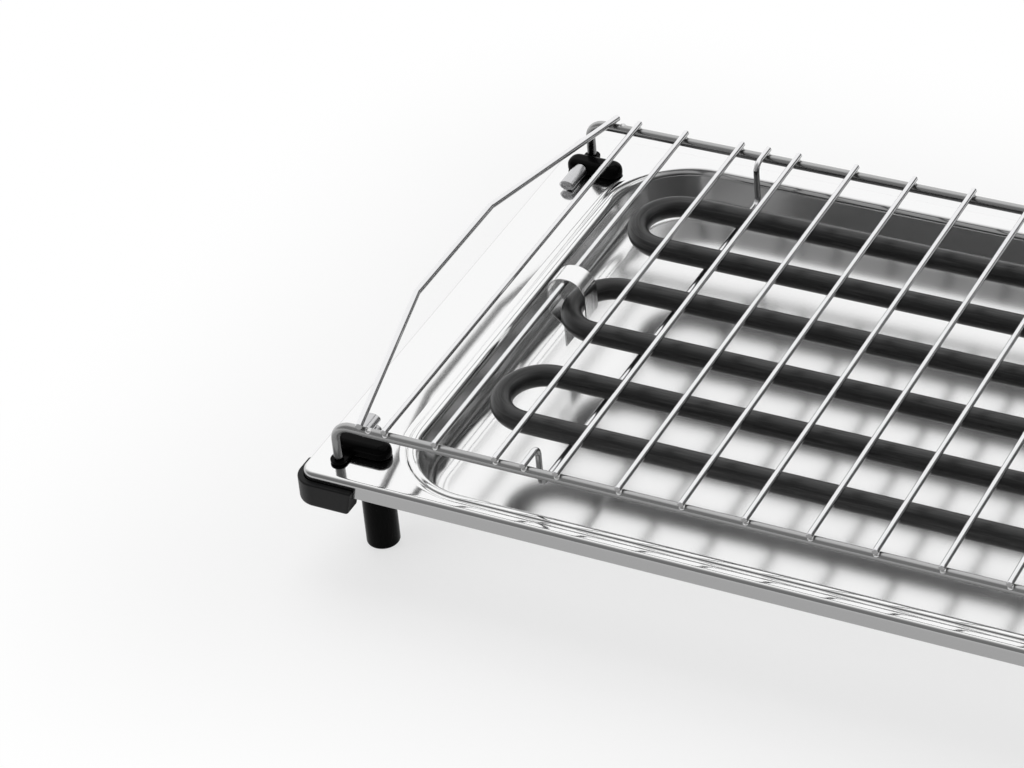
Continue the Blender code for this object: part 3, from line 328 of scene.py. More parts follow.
def domed_ends(path, radius, dome):
    """A path's points and radii with a short rounding added inside each end."""
    def end(tip, inner):
        inward = (inner - tip).normalized()
        return [(tip + inward * dome * (1 - math.cos(turn)), radius - dome * (1 - math.sin(turn)))
                for turn in (QUARTER * step / DOME_STEPS for step in range(DOME_STEPS + 1))]

    middle = [(point, radius) for point in path[1:-1]]
    return zip(*end(path[0], path[1]), *middle, *reversed(end(path[-1], path[-2])))


def sweep(name, path, radii, sides, finish):
    """A round bar along a path. Its seam lies on the underside, and its UV holds the share of the turn and
    the metres along."""
    shape = bmesh.new()
    tangents = [(path[min(index + 1, len(path) - 1)] - path[max(index - 1, 0)]).normalized()
                for index in range(len(path))]
    down = Vector((0, 0, -1)) if abs(tangents[0].z) < math.cos(QUARTER / 2) else Vector((1, 0, 0))
    side = (down - tangents[0] * down.dot(tangents[0])).normalized()
    turns = [4 * QUARTER * step / sides for step in range(sides)]
    rings, lengths, travelled = [], [], 0
    for index, (point, tangent, radius) in enumerate(zip(path, tangents, radii)):
        if index:
            side = tangents[index - 1].rotation_difference(tangent) @ side
            travelled += (point - path[index - 1]).length
        across = tangent.cross(side)
        rings.append([point + (side * math.cos(turn) + across * math.sin(turn)) * radius for turn in turns])
        lengths.append(travelled)
    layer = shape.loops.layers.uv.new("UVMap")
    loops = skin(shape, rings)
    for index, face in enumerate(shape.faces):
        row, step = divmod(index, sides)
        marks = ((step, row), (step + 1, row), (step + 1, row + 1), (step, row + 1))
        for loop, (turn, length) in zip(face.loops, marks):
            loop[layer].uv = (turn / sides, lengths[length])
    shape.faces.new(list(reversed(loops[0])))
    shape.faces.new(loops[-1])
    item = put(name, shape, finish)
    smooth(item)
    return item


def add_wire(name, node, path, diameter, finish="chromed_wire"):
    """A wire of the grate with rounded ends."""
    wire = settings("wire")
    points, radii = domed_ends(path, diameter / 2, wire.end_dome)
    settle(sweep(name, points, radii, wire.sides, finish), "grate_unit", "chrome_wire", node)


def skin(shape, rings):
    """Adds faces between rings with the same number of points and gives the rings' vertices."""
    loops = [[shape.verts.new(point) for point in points] for points in rings]
    for near, far in zip(loops, loops[1:]):
        for index in range(len(near)):
            after = (index + 1) % len(near)
            shape.faces.new((near[index], near[after], far[after], far[index]))
    return loops


def face_outwards(shape):
    bmesh.ops.recalc_face_normals(shape, faces=shape.faces)


def loft(name, rings, finish=None, closed=True):
    """A skin over rings with a lid on the last one, and on the first one where it is closed."""
    shape = bmesh.new()
    loops = skin(shape, rings)
    shape.faces.new(loops[-1])
    if closed:
        shape.faces.new(list(reversed(loops[0])))
        face_outwards(shape)
    return put(name, shape, finish)


def prism(shape, rings):
    """Adds a closed body between two outlines."""
    for loop in skin(shape, rings):
        shape.faces.new(loop)


def along(axis, flat, level):
    """A point from two coordinates across an axis and one along it."""
    u, v = flat
    return {"X": (level, u, v), "Y": (u, level, v), "Z": (u, v, level)}[axis]


def slab(name, outline, low, high, finish=None, axis="Z"):
    """A flat outline given a thickness along an axis."""
    shape = bmesh.new()
    prism(shape, [[along(axis, flat, level) for flat in outline] for level in (low, high)])
    face_outwards(shape)
    return put(name, shape, finish)


def block(low, high):
    """A box between two corners, as a tool."""
    (x0, y0, z0), (x1, y1, z1) = low, high
    return slab("block", [(x0, y0), (x1, y0), (x1, y1), (x0, y1)], z0, z1)


def aim(shape, place, direction):
    """Turns a shape's Z towards the direction and moves its origin to the place."""
    turn = Vector(direction).to_track_quat("Z", "Y").to_matrix().to_4x4()
    bmesh.ops.transform(shape, matrix=Matrix.Translation(place) @ turn, verts=shape.verts)


def rod(diameter, centre, low, high, axis="Z", steps=FINE_STEPS):
    """A cylinder along an axis, as a tool."""
    start, end = (Vector(along(axis, centre, level)) for level in (low, high))
    shape = bmesh.new()
    bmesh.ops.create_cone(shape, cap_ends=True, segments=steps, radius1=diameter / 2, radius2=diameter / 2,
                          depth=(end - start).length)
    aim(shape, (start + end) / 2, end - start)
    return put("rod", shape)


def turned(name, profile, place, finish, direction=(0, 0, 1), steps=FINE_STEPS):
    """A turned piece. The profile's points are (radius, height) from one end of its axis to the other; a
    profile that ends off the axis closes on its first point."""
    shape = bmesh.new()
    turns = [4 * QUARTER * step / steps for step in range(steps)]
    rings = []
    for radius, height in profile:
        if radius < MERGE_DISTANCE:
            rings.append([shape.verts.new((0, 0, height))])
        else:
            rings.append([shape.verts.new((radius * math.cos(turn), radius * math.sin(turn), height))
                          for turn in turns])
    pairs = list(zip(rings, rings[1:]))
    if len(rings[0]) > 1 and len(rings[-1]) > 1:
        pairs.append((rings[-1], rings[0]))
    for near, far in pairs:
        for step in range(steps):
            following = (step + 1) % steps
            corners = [near[step % len(near)], near[following % len(near)],
                       far[following % len(far)], far[step % len(far)]]
            shape.faces.new(list(dict.fromkeys(corners)))
    face_outwards(shape)
    aim(shape, place, direction)
    item = put(name, shape, finish)
    smooth(item)
    return item


def add_cross_screw(name, profile, place, reach, width, depth, body, *nodes):
    """An upright screw with its head below and a cross cut into the head."""
    screw = turned(name, profile, (*place, 0), "zinc_plate", steps=HOLE_STEPS)
    (x, y), low = place, profile[0][1]
    for reach_x, reach_y in ((reach, width), (width, reach)):
        combine(screw, block((x - reach_x, y - reach_y, low - OVERRUN),
                             (x + reach_x, y + reach_y, low + depth)))
    settle(bake(screw), body, "screw_steel", *nodes)


def rounded(half_x, half_y, radius, centre, steps=CORNER_STEPS):
    """A rounded rectangle as flat points, counter-clockwise."""
    points = []
    for quarter, (side_x, side_y) in enumerate(((1, 1), (-1, 1), (-1, -1), (1, -1))):
        corner = (centre.x + side_x * (half_x - radius), centre.y + side_y * (half_y - radius))
        points += arc(corner, radius, QUARTER * quarter, QUARTER * (quarter + 1), steps)
    return points


def nested(half_x, half_y, radius, centre, section):
    """Level rings of a rounded rectangle. The section's points are (inset from its edge, height)."""
    return [[(x, y, height) for x, y in rounded(half_x - inset, half_y - inset, radius - inset, centre)]
            for inset, height in section]


def tube_holes(target, low, high):
    """The holes for the element's two ends."""
    for side in ("front", "rear"):
        pin = box_of("terminal_pin_" + side)[2]
        combine(target, rod(TUBE_BORE, pin.yz, low - OVERRUN, high + OVERRUN, "X"))


def feed(tree, node, inputs):
    """Fills a node's inputs: a socket is linked, any other value is set."""
    for key, value in inputs.items():
        if isinstance(value, bpy.types.NodeSocket):
            tree.links.new(value, node.inputs[key])
        else:
            node.inputs[key].default_value = value


def add_node(tree, kind, inputs=None, **values):
    """A node with some of its properties set and its inputs filled."""
    made = tree.nodes.new(kind)
    for key, value in values.items():
        setattr(made, key, value)
    feed(tree, made, inputs or {})
    return made


def new_finish(name, colour, metallic=0.0, roughness=0.5):
    """A material with its nodes at hand: (material, node tree, shader)."""
    material = bpy.data.materials.new(name)
    material.use_nodes = True
    tree = material.node_tree
    shader = tree.nodes["Principled BSDF"]
    feed(tree, shader, {"Base Color": (*colour, 1), "Metallic": metallic, "Roughness": roughness})
    return material, tree, shader


def noise_of(tree, scale, detail, stretch=(1, 1, 1), source="Object", roughness=0.5):
    """Noise in object or UV coordinates; the stretch multiplies the coordinates first."""
    place = add_node(tree, "ShaderNodeTexCoord").outputs[source]
    mapping = add_node(tree, "ShaderNodeMapping", {"Vector": place, "Scale": stretch}).outputs["Vector"]
    return add_node(tree, "ShaderNodeTexNoise", {"Vector": mapping, "Scale": scale, "Detail": detail,
                                                 "Roughness": roughness}).outputs["Fac"]


def ranged(tree, value, low, high, to_low=0, to_high=1, smoothly=False):
    """Maps a value from one range to another and stops at its ends."""
    return add_node(tree, "ShaderNodeMapRange", {"Value": value, "From Min": low, "From Max": high,
                                                 "To Min": to_low, "To Max": to_high},
                    interpolation_type="SMOOTHSTEP" if smoothly else "LINEAR").outputs["Result"]


def blended(tree, share, first, second):
    """A colour between two by a share."""
    colours = [value if isinstance(value, bpy.types.NodeSocket) else (*value, 1) for value in (first, second)]
    return add_node(tree, "ShaderNodeMix", {"Factor": share, "A": colours[0], "B": colours[1]},
                    data_type="RGBA").outputs["Result"]


def bumped(tree, shader, height, distance):
    """Bump on a shader from a height."""
    node = add_node(tree, "ShaderNodeBump", {"Height": height, "Distance": distance, "Strength": 1.0})
    feed(tree, shader, {"Normal": node.outputs["Normal"]})


def scalar_math(tree, operation, first, second):
    return add_node(tree, "ShaderNodeMath", {0: first, 1: second}, operation=operation).outputs["Value"]


def vector_math(tree, operation, *values):
    return add_node(tree, "ShaderNodeVectorMath", dict(enumerate(values)), operation=operation)


def part_of(tree, vector, axis):
    return add_node(tree, "ShaderNodeSeparateXYZ", {"Vector": vector}).outputs[axis]


def place_of(tree):
    return add_node(tree, "ShaderNodeTexCoord").outputs["Object"]


def facing_up(tree):
    """1 on what faces up, 0 on what faces sideways."""
    return part_of(tree, add_node(tree, "ShaderNodeNewGeometry").outputs["Normal"], "Z")


def beyond_box(tree, centre, half):
    """How far a point lies outside a box along each axis, less than zero inside."""
    shifted = vector_math(tree, "SUBTRACT", place_of(tree), centre).outputs[0]
    size = vector_math(tree, "ABSOLUTE", shifted).outputs[0]
    return vector_math(tree, "SUBTRACT", size, half).outputs[0]


def edge_distance(tree):
    """How far a point lies outside the tray's straight edges, less than zero inside."""
    beyond = beyond_box(tree, TRAY_MIDDLE, TRAY_HALF)
    return scalar_math(tree, "MAXIMUM", part_of(tree, beyond, "X"), part_of(tree, beyond, "Y"))


def seen_rays(tree):
    """1 for rays from the camera, and for what metal and glass show."""
    path = add_node(tree, "ShaderNodeLightPath")
    first = scalar_math(tree, "MAXIMUM", path.outputs["Is Camera Ray"], path.outputs["Is Glossy Ray"])
    return scalar_math(tree, "MAXIMUM", first, path.outputs["Is Transmission Ray"])


# Where the tray's painted shade and its gloss change: from the rim down, from the floor and the dip up, at
# the edge, and by slope
RIM_FADE = (-0.0003, -0.002)
GLOSS_FADE = (-0.0005, -0.003)
FLOOR_FADE = (0.0006, 0.004)
BEAD_FADE = (0.00003, 0.00008)
EDGE_FADE = (-0.0026, -0.002)
# Slopes where the painted shade lines begin and end, and how much of the darker tone the bend takes
BEAD_SHADE_SLOPE = (0.86, 0.7)
BEND_SHADE_SLOPE = (0.97, 0.7)
BEND_SHADE_SHARE = 0.8
# Where the floor turns plain white, and where the room's dark sides begin and end
FLOOR_WHITE_FROM = 0.16
ROOM_SIDES = (("Y", 0.2, -0.5), ("X", 0.16, 0.44), ("Z", 0.6, 0.4))


def make_tray_steel():
    """Polished on the rim and the floor and a little rougher below the rim, with a faint waviness; the walls,
    the lip, the bead's slopes and the bend at the edge are painted darker as shade.
    """
    steel, sizes = settings("steel"), settings("tray")
    material, tree, shader = new_finish("tray_steel", steel.steel, 1.0)
    height, level = part_of(tree, place_of(tree), "Z"), facing_up(tree)

    def faded(value, start, steps, *to, smoothly=False):
        return ranged(tree, value, start + steps[0], start + steps[1], *to, smoothly=smoothly)

    below_rim = faded(height, RIM_TOP, RIM_FADE, smoothly=True)
    above_floor = faded(height, TRAY_LOW.z + sizes.sheet, FLOOR_FADE, smoothly=True)
    # Painted shade: the walls between the rim and the floor take the darker drawn tone
    wall = scalar_math(tree, "MULTIPLY", below_rim, above_floor)
    tone = blended(tree, wall, steel.steel, steel.drawn)
    at_edge = faded(edge_distance(tree), 0, EDGE_FADE)
    on_bead = scalar_math(tree, "SUBTRACT", faded(height, RIM_TOP - sizes.dip, BEAD_FADE), at_edge)
    # Painted shade: dark lines in the groove tone on the bead's sloped faces and on the bend at the tray's
    # edge
    groove = scalar_math(tree, "MULTIPLY", ranged(tree, on_bead, 0, 1), ranged(tree, level, *BEAD_SHADE_SLOPE))
    bend = scalar_math(tree, "MULTIPLY", at_edge, ranged(tree, level, *BEND_SHADE_SLOPE, 0, BEND_SHADE_SHARE))
    tone = blended(tree, scalar_math(tree, "ADD", groove, bend), tone, steel.groove)
    # Painted shade on the lip: below the rim at the tray's edge the steel takes the lip tone
    lip = scalar_math(tree, "MULTIPLY", below_rim, at_edge)
    gloss = faded(height, RIM_TOP, GLOSS_FADE, steel.rim_roughness, steel.pan_roughness, smoothly=True)
    smear = ranged(tree, noise_of(tree, 14, 5), 0.35, 0.7, 0, 0.02)
    feed(tree, shader, {"Base Color": blended(tree, lip, tone, steel.lip),
                        "Roughness": scalar_math(tree, "ADD", gloss, smear)})
    bumped(tree, shader, noise_of(tree, 22, 1), 0.00006)
    return material


def make_wire(name, colour, below, gloss):
    """Chromed wire with slight drawing marks along it, painted darker on its underside as shade."""
    material, tree, shader = new_finish(name, colour, 1.0)
    # Painted shade: the colour darkens where the wire faces down
    under = ranged(tree, facing_up(tree), 0.5, 0.1)
    marks = noise_of(tree, 60, 4, (10, 0.4, 1), "UV")
    feed(tree, shader, {"Base Color": blended(tree, under, colour, below),
                        "Roughness": ranged(tree, marks, 0.3, 0.75, *gloss)})
    return material


def make_chromed_wire():
    """The bright cross wires, handles and stirrups."""
    return make_wire("chromed_wire", settings("steel").chrome, settings("steel").under, (0.08, 0.2))


def make_rail_wire():
    """The thick rails: a little rougher, and painted darker than the chrome as shade, darker still on their
    undersides.
    """
    rail = settings("steel").rail
    return make_wire("rail_wire", rail, [share / 2 for share in rail], (0.2, 0.3))


def make_element_coating():
    """Charcoal coating, streaked along the tube."""
    element = settings("element")
    material, tree, shader = new_finish("element_coating", element.coat)
    streaks = ranged(tree, noise_of(tree, 9, 6, (3.2, 5, 1), "UV", 0.6), 0.5, 0.78)
    fine = noise_of(tree, 30, 5, (5, 2, 1), "UV", 0.6)
    feed(tree, shader, {"Base Color": blended(tree, streaks, element.coat, element.streak),
                        "Roughness": ranged(tree, fine, 0.3, 0.75, 0.24, 0.46), "Specular IOR Level": 0.6})
    bumped(tree, shader, fine, 0.00006)
    return material


def make_floor_paper():
    """Pale paper that turns plain white away from the grill."""
    stage = settings("stage")
    material, tree, shader = new_finish("floor_paper", stage.floor)
    low, high = CAD_BOX
    beyond = beyond_box(tree, (*((low + high) / 2).xy, 0), (*((high - low) / 2).xy, 0))
    outside = vector_math(tree, "MAXIMUM", beyond).outputs[0]
    distance = vector_math(tree, "LENGTH", outside).outputs["Value"]
    fade = ranged(tree, distance, 0, FLOOR_WHITE_FROM, stage.near_white, 1, smoothly=True)
    feed(tree, shader, {"Roughness": ranged(tree, noise_of(tree, 3, 3), 0.3, 0.7, 0.5, 0.66)})
    mix = add_node(tree, "ShaderNodeMixShader", {
        "Fac": scalar_math(tree, "MULTIPLY", fade, seen_rays(tree)), 1: shader.outputs["BSDF"],
        2: add_node(tree, "ShaderNodeEmission").outputs["Emission"]})
    feed(tree, tree.nodes["Material Output"], {"Surface": mix.outputs["Shader"]})
    return material


def make_grained(name, colour, metallic, scale, detail, stretch=(1, 1, 1), spread=(0.3, 0.7), gloss=None,
                 tones=None, relief=None, roughness=0.5, more=None):
    """A finish with one grain, which varies its roughness or its colour and may stand out a little."""
    material, tree, shader = new_finish(name, colour, metallic, roughness)
    grain = noise_of(tree, scale, detail, stretch)
    if gloss:
        feed(tree, shader, {"Roughness": ranged(tree, grain, *spread, *gloss)})
    if tones:
        feed(tree, shader, {"Base Color": blended(tree, ranged(tree, grain, *spread), *tones)})
    if relief:
        bumped(tree, shader, grain, relief)
    feed(tree, shader, more or {})
    return material


def grained_finishes():
    """Every finish with one grain: its colour, how metallic it is, and its grain's scale and detail."""
    steel, plastic = settings("steel"), settings("plastic")
    return {
        # Bright sheet with fine rolling lines along it
        "strap_steel": dict(colour=steel.steel, metallic=1, scale=900, detail=3, stretch=(0.05, 1, 0.05),
                            gloss=(0.1, 0.24)),
        "weld_metal": dict(colour=steel.drawn, metallic=1, scale=1400, detail=3, gloss=(0.22, 0.42),
                           relief=0.00008),
        "turned_steel": dict(colour=(0.62, 0.62, 0.63), metallic=1, scale=500, detail=3, stretch=(1, 0.08, 1),
                             gloss=(0.16, 0.34)),
        "zinc_plate": dict(colour=(0.5, 0.51, 0.53), metallic=1, scale=700, detail=4, gloss=(0.26, 0.44)),
        "stamped_brass": dict(colour=(0.72, 0.55, 0.26), metallic=1, scale=600, detail=3, stretch=(1, 0.1, 1),
                              gloss=(0.2, 0.38)),
        # Moulded plastics: glossy and almost black, and satin
        "gloss_black_plastic": dict(colour=plastic.gloss_black, metallic=0, scale=260, detail=3,
                                    gloss=(0.13, 0.24), relief=0.00002, more={"Specular IOR Level": 0.04}),
        "satin_black_plastic": dict(colour=plastic.satin_black, metallic=0, scale=2600, detail=3,
                                    gloss=(0.34, 0.5), relief=0.00004, more={"Specular IOR Level": 0.2}),
        "red_lens": dict(colour=(0.62, 0.02, 0.012), metallic=0, scale=300, detail=2, gloss=(0.05, 0.12),
                         more={"Transmission Weight": 0.35}),
        "lamp_glass": dict(colour=(0.9, 0.9, 0.88), metallic=0, scale=200, detail=2, gloss=(0.02, 0.08),
                           more={"Transmission Weight": 0.9}),
        # Unglazed ceramic, braided sleeve of the leads and the dial's print
        "steatite": dict(colour=(0.78, 0.75, 0.68), metallic=0, scale=220, detail=5, spread=(0.35, 0.7),
                         tones=((0.8, 0.77, 0.7), (0.7, 0.66, 0.58)), roughness=0.6),
        "lead_sleeve": dict(colour=(0.7, 0.68, 0.62), metallic=0, scale=2200, detail=2, spread=(0.35, 0.65),
                            tones=((0.74, 0.72, 0.66), (0.55, 0.53, 0.47)), relief=0.0001, roughness=0.7),
        "dial_paint": dict(colour=(0.62,) * 3, metallic=0, scale=1500, detail=2,
                           tones=((0.66,) * 3, (0.56,) * 3)),
    }


FINISHES = {}
FINISH_MAKERS = {
    "tray_steel": make_tray_steel,
    "chromed_wire": make_chromed_wire,
    "rail_wire": make_rail_wire,
    "element_coating": make_element_coating,
    "floor_paper": make_floor_paper,
}


def finish_named(name):
    """A finish by its name, made once."""
    if name not in FINISHES:
        if name in FINISH_MAKERS:
            FINISHES[name] = FINISH_MAKERS[name]()
        else:
            FINISHES[name] = make_grained(name, **grained_finishes()[name])
    return FINISHES[name]


class GRILL_OT_tray(bpy.types.Operator):
    """Adds the pressed steel tray"""
    bl_idname = "grill.tray"
    bl_label = "Tray"

    dip_slope = math.radians(20)
    bead_slope = math.radians(60)

    def execute(self, context):
        sizes = settings("tray")
        lip = [(0, RIM_TOP - sizes.lip_drop)]
        lip += arc((sizes.lip_bend, RIM_TOP - sizes.lip_bend), sizes.lip_bend, 2 * QUARTER, QUARTER)
        rings = nested(TRAY_HALF.x, TRAY_HALF.y, sizes.corner, TRAY_MIDDLE, lip)
        rings += nested(sizes.pan_length / 2, sizes.pan_depth / 2, sizes.pan_corner, TRAY_MIDDLE,
                        self.pan_section(sizes))
        tray = loft("tray_sheet", rings, "tray_steel", closed=False)
        thicken(tray, sizes.sheet, -1).use_even_offset = True
        bevel(tray, sizes.sheet / 4, 2, 60)
        settle(bake(tray, 40), "tray", "mirror_steel", "grease_tray")
        return {"FINISHED"}

    def pan_section(self, sizes):
        """The pan's section as (inset from its edge, height), from the rim to the floor."""
        floor = TRAY_LOW.z + sizes.sheet
        angle = sizes.wall_angle
        points = s_bend((0, RIM_TOP), -sizes.dip, self.dip_slope)
        points += s_bend(points[-1], sizes.bead, self.bead_slope)[1:]
        inset, top = points[-1]
        shoulder_centre = (inset + sizes.bead_top, top - sizes.shoulder)
        points += arc(shoulder_centre, sizes.shoulder, QUARTER, QUARTER - angle)
        inset, top = points[-1]
        foot_top = floor + sizes.foot * (1 - math.cos(angle))
        foot_start = inset + (top - foot_top) / math.tan(angle)
        foot_centre = (foot_start + sizes.foot * math.sin(angle), floor + sizes.foot)
        return points + arc(foot_centre, sizes.foot, -QUARTER - angle, -QUARTER)


class GRILL_OT_corner_caps(bpy.types.Operator):
    """Adds the four plastic caps on the tray's corners"""
    bl_idname = "grill.corner_caps"
    bl_label = "Corner caps"

    inner_wall = 0.0039
    end_slant = 0.0022
    low_edge = 0.0016
    end_edge = 0.0008

    def execute(self, context):
        sizes, low_edge, edge = settings("tray"), self.low_edge, settings("plastic").edge
        slot_inner = -sizes.sheet - GAP
        for corner, (side_x, _) in CORNERS.items():
            low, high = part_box("corner_cap_" + corner)
            outer = (TRAY_LOW.x - low.x) if side_x < 0 else (high.x - TRAY_HIGH.x)
            inner = slot_inner - self.inner_wall
            section = [(low_edge - x, low.z + low_edge + z) for x, z in arc((0, 0), low_edge, -QUARTER, 0)]
            section += [(edge - x, high.z - edge + z) for x, z in arc((0, 0), edge, 0, QUARTER)]
            rings = []
            for inset, z in section:
                slant = self.end_slant * (high.z - z) / (high.z - low.z)
                outline = self.band(corner, low, high, outer - inset, inner + inset, slant + inset, inset)
                rings.append([(x, y, z) for x, y in outline])
            cap = loft("cap_" + corner, rings, "satin_black_plastic")
            slot = self.band(corner, low, high, GAP, slot_inner, -OVERRUN, -OVERRUN)
            combine(cap, slab("slot", slot, RIM_TOP - sizes.lip_drop - GAP, high.z + OVERRUN))
            settle(bake(cap, 40), "tray", "black_satin", "corner_cap_" + corner)
        return {"FINISHED"}

    def band(self, corner, low, high, outer, inner, long_inset, short_inset):
        """Outline of a band along the tray's edge round a corner, between two offsets from that edge. Its
        ends are rounded and lie inside the far sides of the box."""
        side_x, side_y = CORNERS[corner]
        radius = settings("tray").corner
        edge = self.end_edge if outer > GAP else GAP
        half_x, half_y = TRAY_HALF.x, TRAY_HALF.y
        middle = (half_x - radius, half_y - radius)
        long_end = abs((high.x if side_x < 0 else low.x) - TRAY_MIDDLE.x) + long_inset + edge
        short_end = abs((high.y if side_y < 0 else low.y) - TRAY_MIDDLE.y) + short_inset + edge
        points = arc((long_end, half_y + outer - edge), edge, 2 * QUARTER, QUARTER, SHORT_ARC_STEPS)
        points += arc(middle, radius + outer, QUARTER, 0, CORNER_STEPS)
        points += arc((half_x + outer - edge, short_end), edge, 0, -QUARTER, SHORT_ARC_STEPS)
        points += arc((half_x + inner + edge, short_end), edge, -QUARTER, -2 * QUARTER, SHORT_ARC_STEPS)
        points += arc(middle, radius + inner, 0, QUARTER)
        points += arc((long_end, half_y + inner + edge), edge, -QUARTER, -2 * QUARTER, SHORT_ARC_STEPS)
        return [(TRAY_MIDDLE.x + side_x * x, TRAY_MIDDLE.y + side_y * y) for x, y in points]


class GRILL_OT_feet(bpy.types.Operator):
    """Adds the four feet and their cross-head screws"""
    bl_idname = "grill.feet"
    bl_label = "Feet"

    edge = 0.0012
    bore = 0.0042
    bore_depth = 0.024
    shank_bore = 0.00205
    shank = 0.00175
    head_height = 0.0026

    def execute(self, context):
        for corner in CORNERS:
            low, high, place = box_of("foot_" + corner)
            radius, seat = (high.x - low.x) / 2, low.z + self.bore_depth
            edge = arc((radius - self.edge, low.z + self.edge), self.edge, 0, -QUARTER)
            profile = [(self.shank_bore, high.z), (radius - GAP, high.z), (radius, high.z - GAP)] + edge
            profile += [(self.bore, low.z), (self.bore, seat), (self.shank_bore, seat)]
            foot = turned("foot_sleeve_" + corner, profile, (*place.xy, 0), "gloss_black_plastic")
            settle(foot, "tray", "black_gloss", "foot_" + corner)
            self.add_screw(corner)
        return {"FINISHED"}

    def add_screw(self, corner):
        low, high, place = box_of("foot_screw_" + corner)
        head, shank, rise = (high.x - low.x) / 2, self.shank, self.head_height / 2
        profile = crown(head, low.z + rise, -rise)
        profile += [(head, low.z + 2 * rise), (shank, low.z + 2 * rise), (shank, high.z - shank / 2),
                    (shank / 2, high.z), (0, high.z)]
        add_cross_screw("tray_screw_" + corner, profile, place.xy, shank, shank / 4, rise, "tray",
                        "foot_screw_" + corner)


class GRILL_OT_rest_levers(bpy.types.Operator):
    """Adds the four levers that carry the grate's legs"""
    bl_idname = "grill.rest_levers"
    bl_label = "Rest levers"

    nose = 0.004
    end_wall = 0.0015
    tongue_radius = 0.0033
    tongue_height = 0.0012
    leg_inset = (0.0102, 0.00755)
    setback = 0.001
    tail = 0.0026
    crown = 0.003
    bore = 0.0041

    def execute(self, context):
        for corner in CORNERS:
            self.add(corner, settings("plastic").edge)
        return {"FINISHED"}

    def add(self, corner, edge):
        """Outlines are drawn round the foot's axis, at the frame's swivel joint, with the claw at +X and the
        tongue at +Y, and turned to the corner."""
        low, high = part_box("rest_lever_" + corner)
        joint = next(joint for joint in frame["joints"] if joint["name"] == f"rest_{corner}_swivel")
        axis = Vector(joint["pos_m"])
        side_x, side_y = CORNERS[corner]
        reach = (axis.x - low.x) if side_x < 0 else (high.x - axis.x)
        inner = (axis.y - high.y) if side_y < 0 else (low.y - axis.y)
        half = -inner - self.setback
        outer = half - self.setback

        def drawn(points):
            return [(axis.x + side_x * x, axis.y + side_y * y) for x, y in points]

        nose = self.nose
        outline = arc((-self.tail, -self.setback), half, QUARTER, 3 * QUARTER, 2 * CORNER_STEPS)
        outline += arc((reach - nose, inner + nose), nose, -QUARTER, 0)
        outline += arc((reach - nose, outer - nose), nose, 0, QUARTER)
        lever = slab("lever_" + corner, drawn(outline), low.z, high.z, "gloss_black_plastic")
        self.round_edges(lever, edge, self.crown)
        leg_x, leg_y = self.leg_inset
        tongue = arc((leg_x, leg_y), self.tongue_radius, 0, 2 * QUARTER, CORNER_STEPS)
        root = outer - 2 * self.end_wall
        tongue += [(leg_x - self.tongue_radius, root), (leg_x + self.tongue_radius, root)]
        plate = slab("tongue", drawn(tongue), low.z + GAP / 2, low.z + self.tongue_height)
        bevel(plate, edge / 4, 2)
        combine(lever, plate, "UNION")
        pin_low, pin_high, pin = box_of("rest_pin_" + corner)
        wide, tall = (pin_high.x - pin_low.x) / 2 + GAP, (pin_high.z - pin_low.z) / 2 + GAP
        arch = [(pin.x + wide * x, pin.z + tall * z) for x, z in arc((0, 0), 1, 0, 2 * QUARTER, CORNER_STEPS)]
        arch += [(pin.x - wide, low.z - OVERRUN), (pin.x + wide, low.z - OVERRUN)]
        ends = sorted((axis.y + side_y * (outer - self.end_wall), axis.y + side_y * (inner - OVERRUN)))
        combine(lever, slab("claw", arch, *ends, axis="Y"))
        bore_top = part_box("foot_screw_" + corner)[1].z + GAP
        combine(lever, rod(self.bore, axis.xy, low.z - OVERRUN, bore_top, steps=HOLE_STEPS))
        settle(bake(lever), "rest_" + corner, "black_gloss", "rest_lever_" + corner)

    def round_edges(self, item, low_edge, high_edge):
        """Rounds the lower rim of a slab a little and its upper rim more."""
        shape = bmesh.new()
        shape.from_mesh(item.data)
        middle = sum(vert.co.z for vert in shape.verts) / len(shape.verts)
        for width, is_high in ((high_edge, True), (low_edge, False)):
            rims = [edge for edge in shape.edges if len(edge.link_faces) == 2
                    and all((vert.co.z > middle) == is_high for vert in edge.verts)
                    and abs(edge.link_faces[0].normal.z - edge.link_faces[1].normal.z) > 0.9]
            bmesh.ops.bevel(shape, geom=rims, offset=width, offset_type="OFFSET", segments=5, profile=0.5,
                            affect="EDGES", clamp_overlap=True)
        shape.to_mesh(item.data)
        shape.free()


class GRILL_OT_rest_pins(bpy.types.Operator):
    """Adds the four steel pins in the levers' claws"""
    bl_idname = "grill.rest_pins"
    bl_label = "Rest pins"

    chamfer = 0.0005
    groove = 0.00016
    groove_shares = (0.3, 0.62)

    def execute(self, context):
        for corner in CORNERS:
            low, high, middle = box_of("rest_pin_" + corner)
            radius, half = (high.z - low.z) / 2, (high.y - low.y) / 2
            face = self.face(radius)
            profile = [(r, z - half) for r, z in face] + [(r, half - z) for r, z in reversed(face)]
            pin = turned("pin_" + corner, profile, middle, "turned_steel", (0, 1, 0))
            for vert in pin.data.vertices:
                vert.co.x = middle.x + (vert.co.x - middle.x) * (high.x - low.x) / (high.z - low.z)
            settle(pin, "rest_" + corner, "pin_steel", "rest_pin_" + corner)
        return {"FINISHED"}

    def face(self, radius):
        """A chamfered end with a centre mark and two turned rings, from the axis outwards."""
        land, groove = radius - self.chamfer, self.groove
        points = [(0, 3 * groove), (2 * groove, 0)]
        for middle in (land * share for share in self.groove_shares):
            points += [(middle - groove, 0), (middle, groove), (middle + groove, 0)]
        return points + [(land, 0), (radius, self.chamfer)]


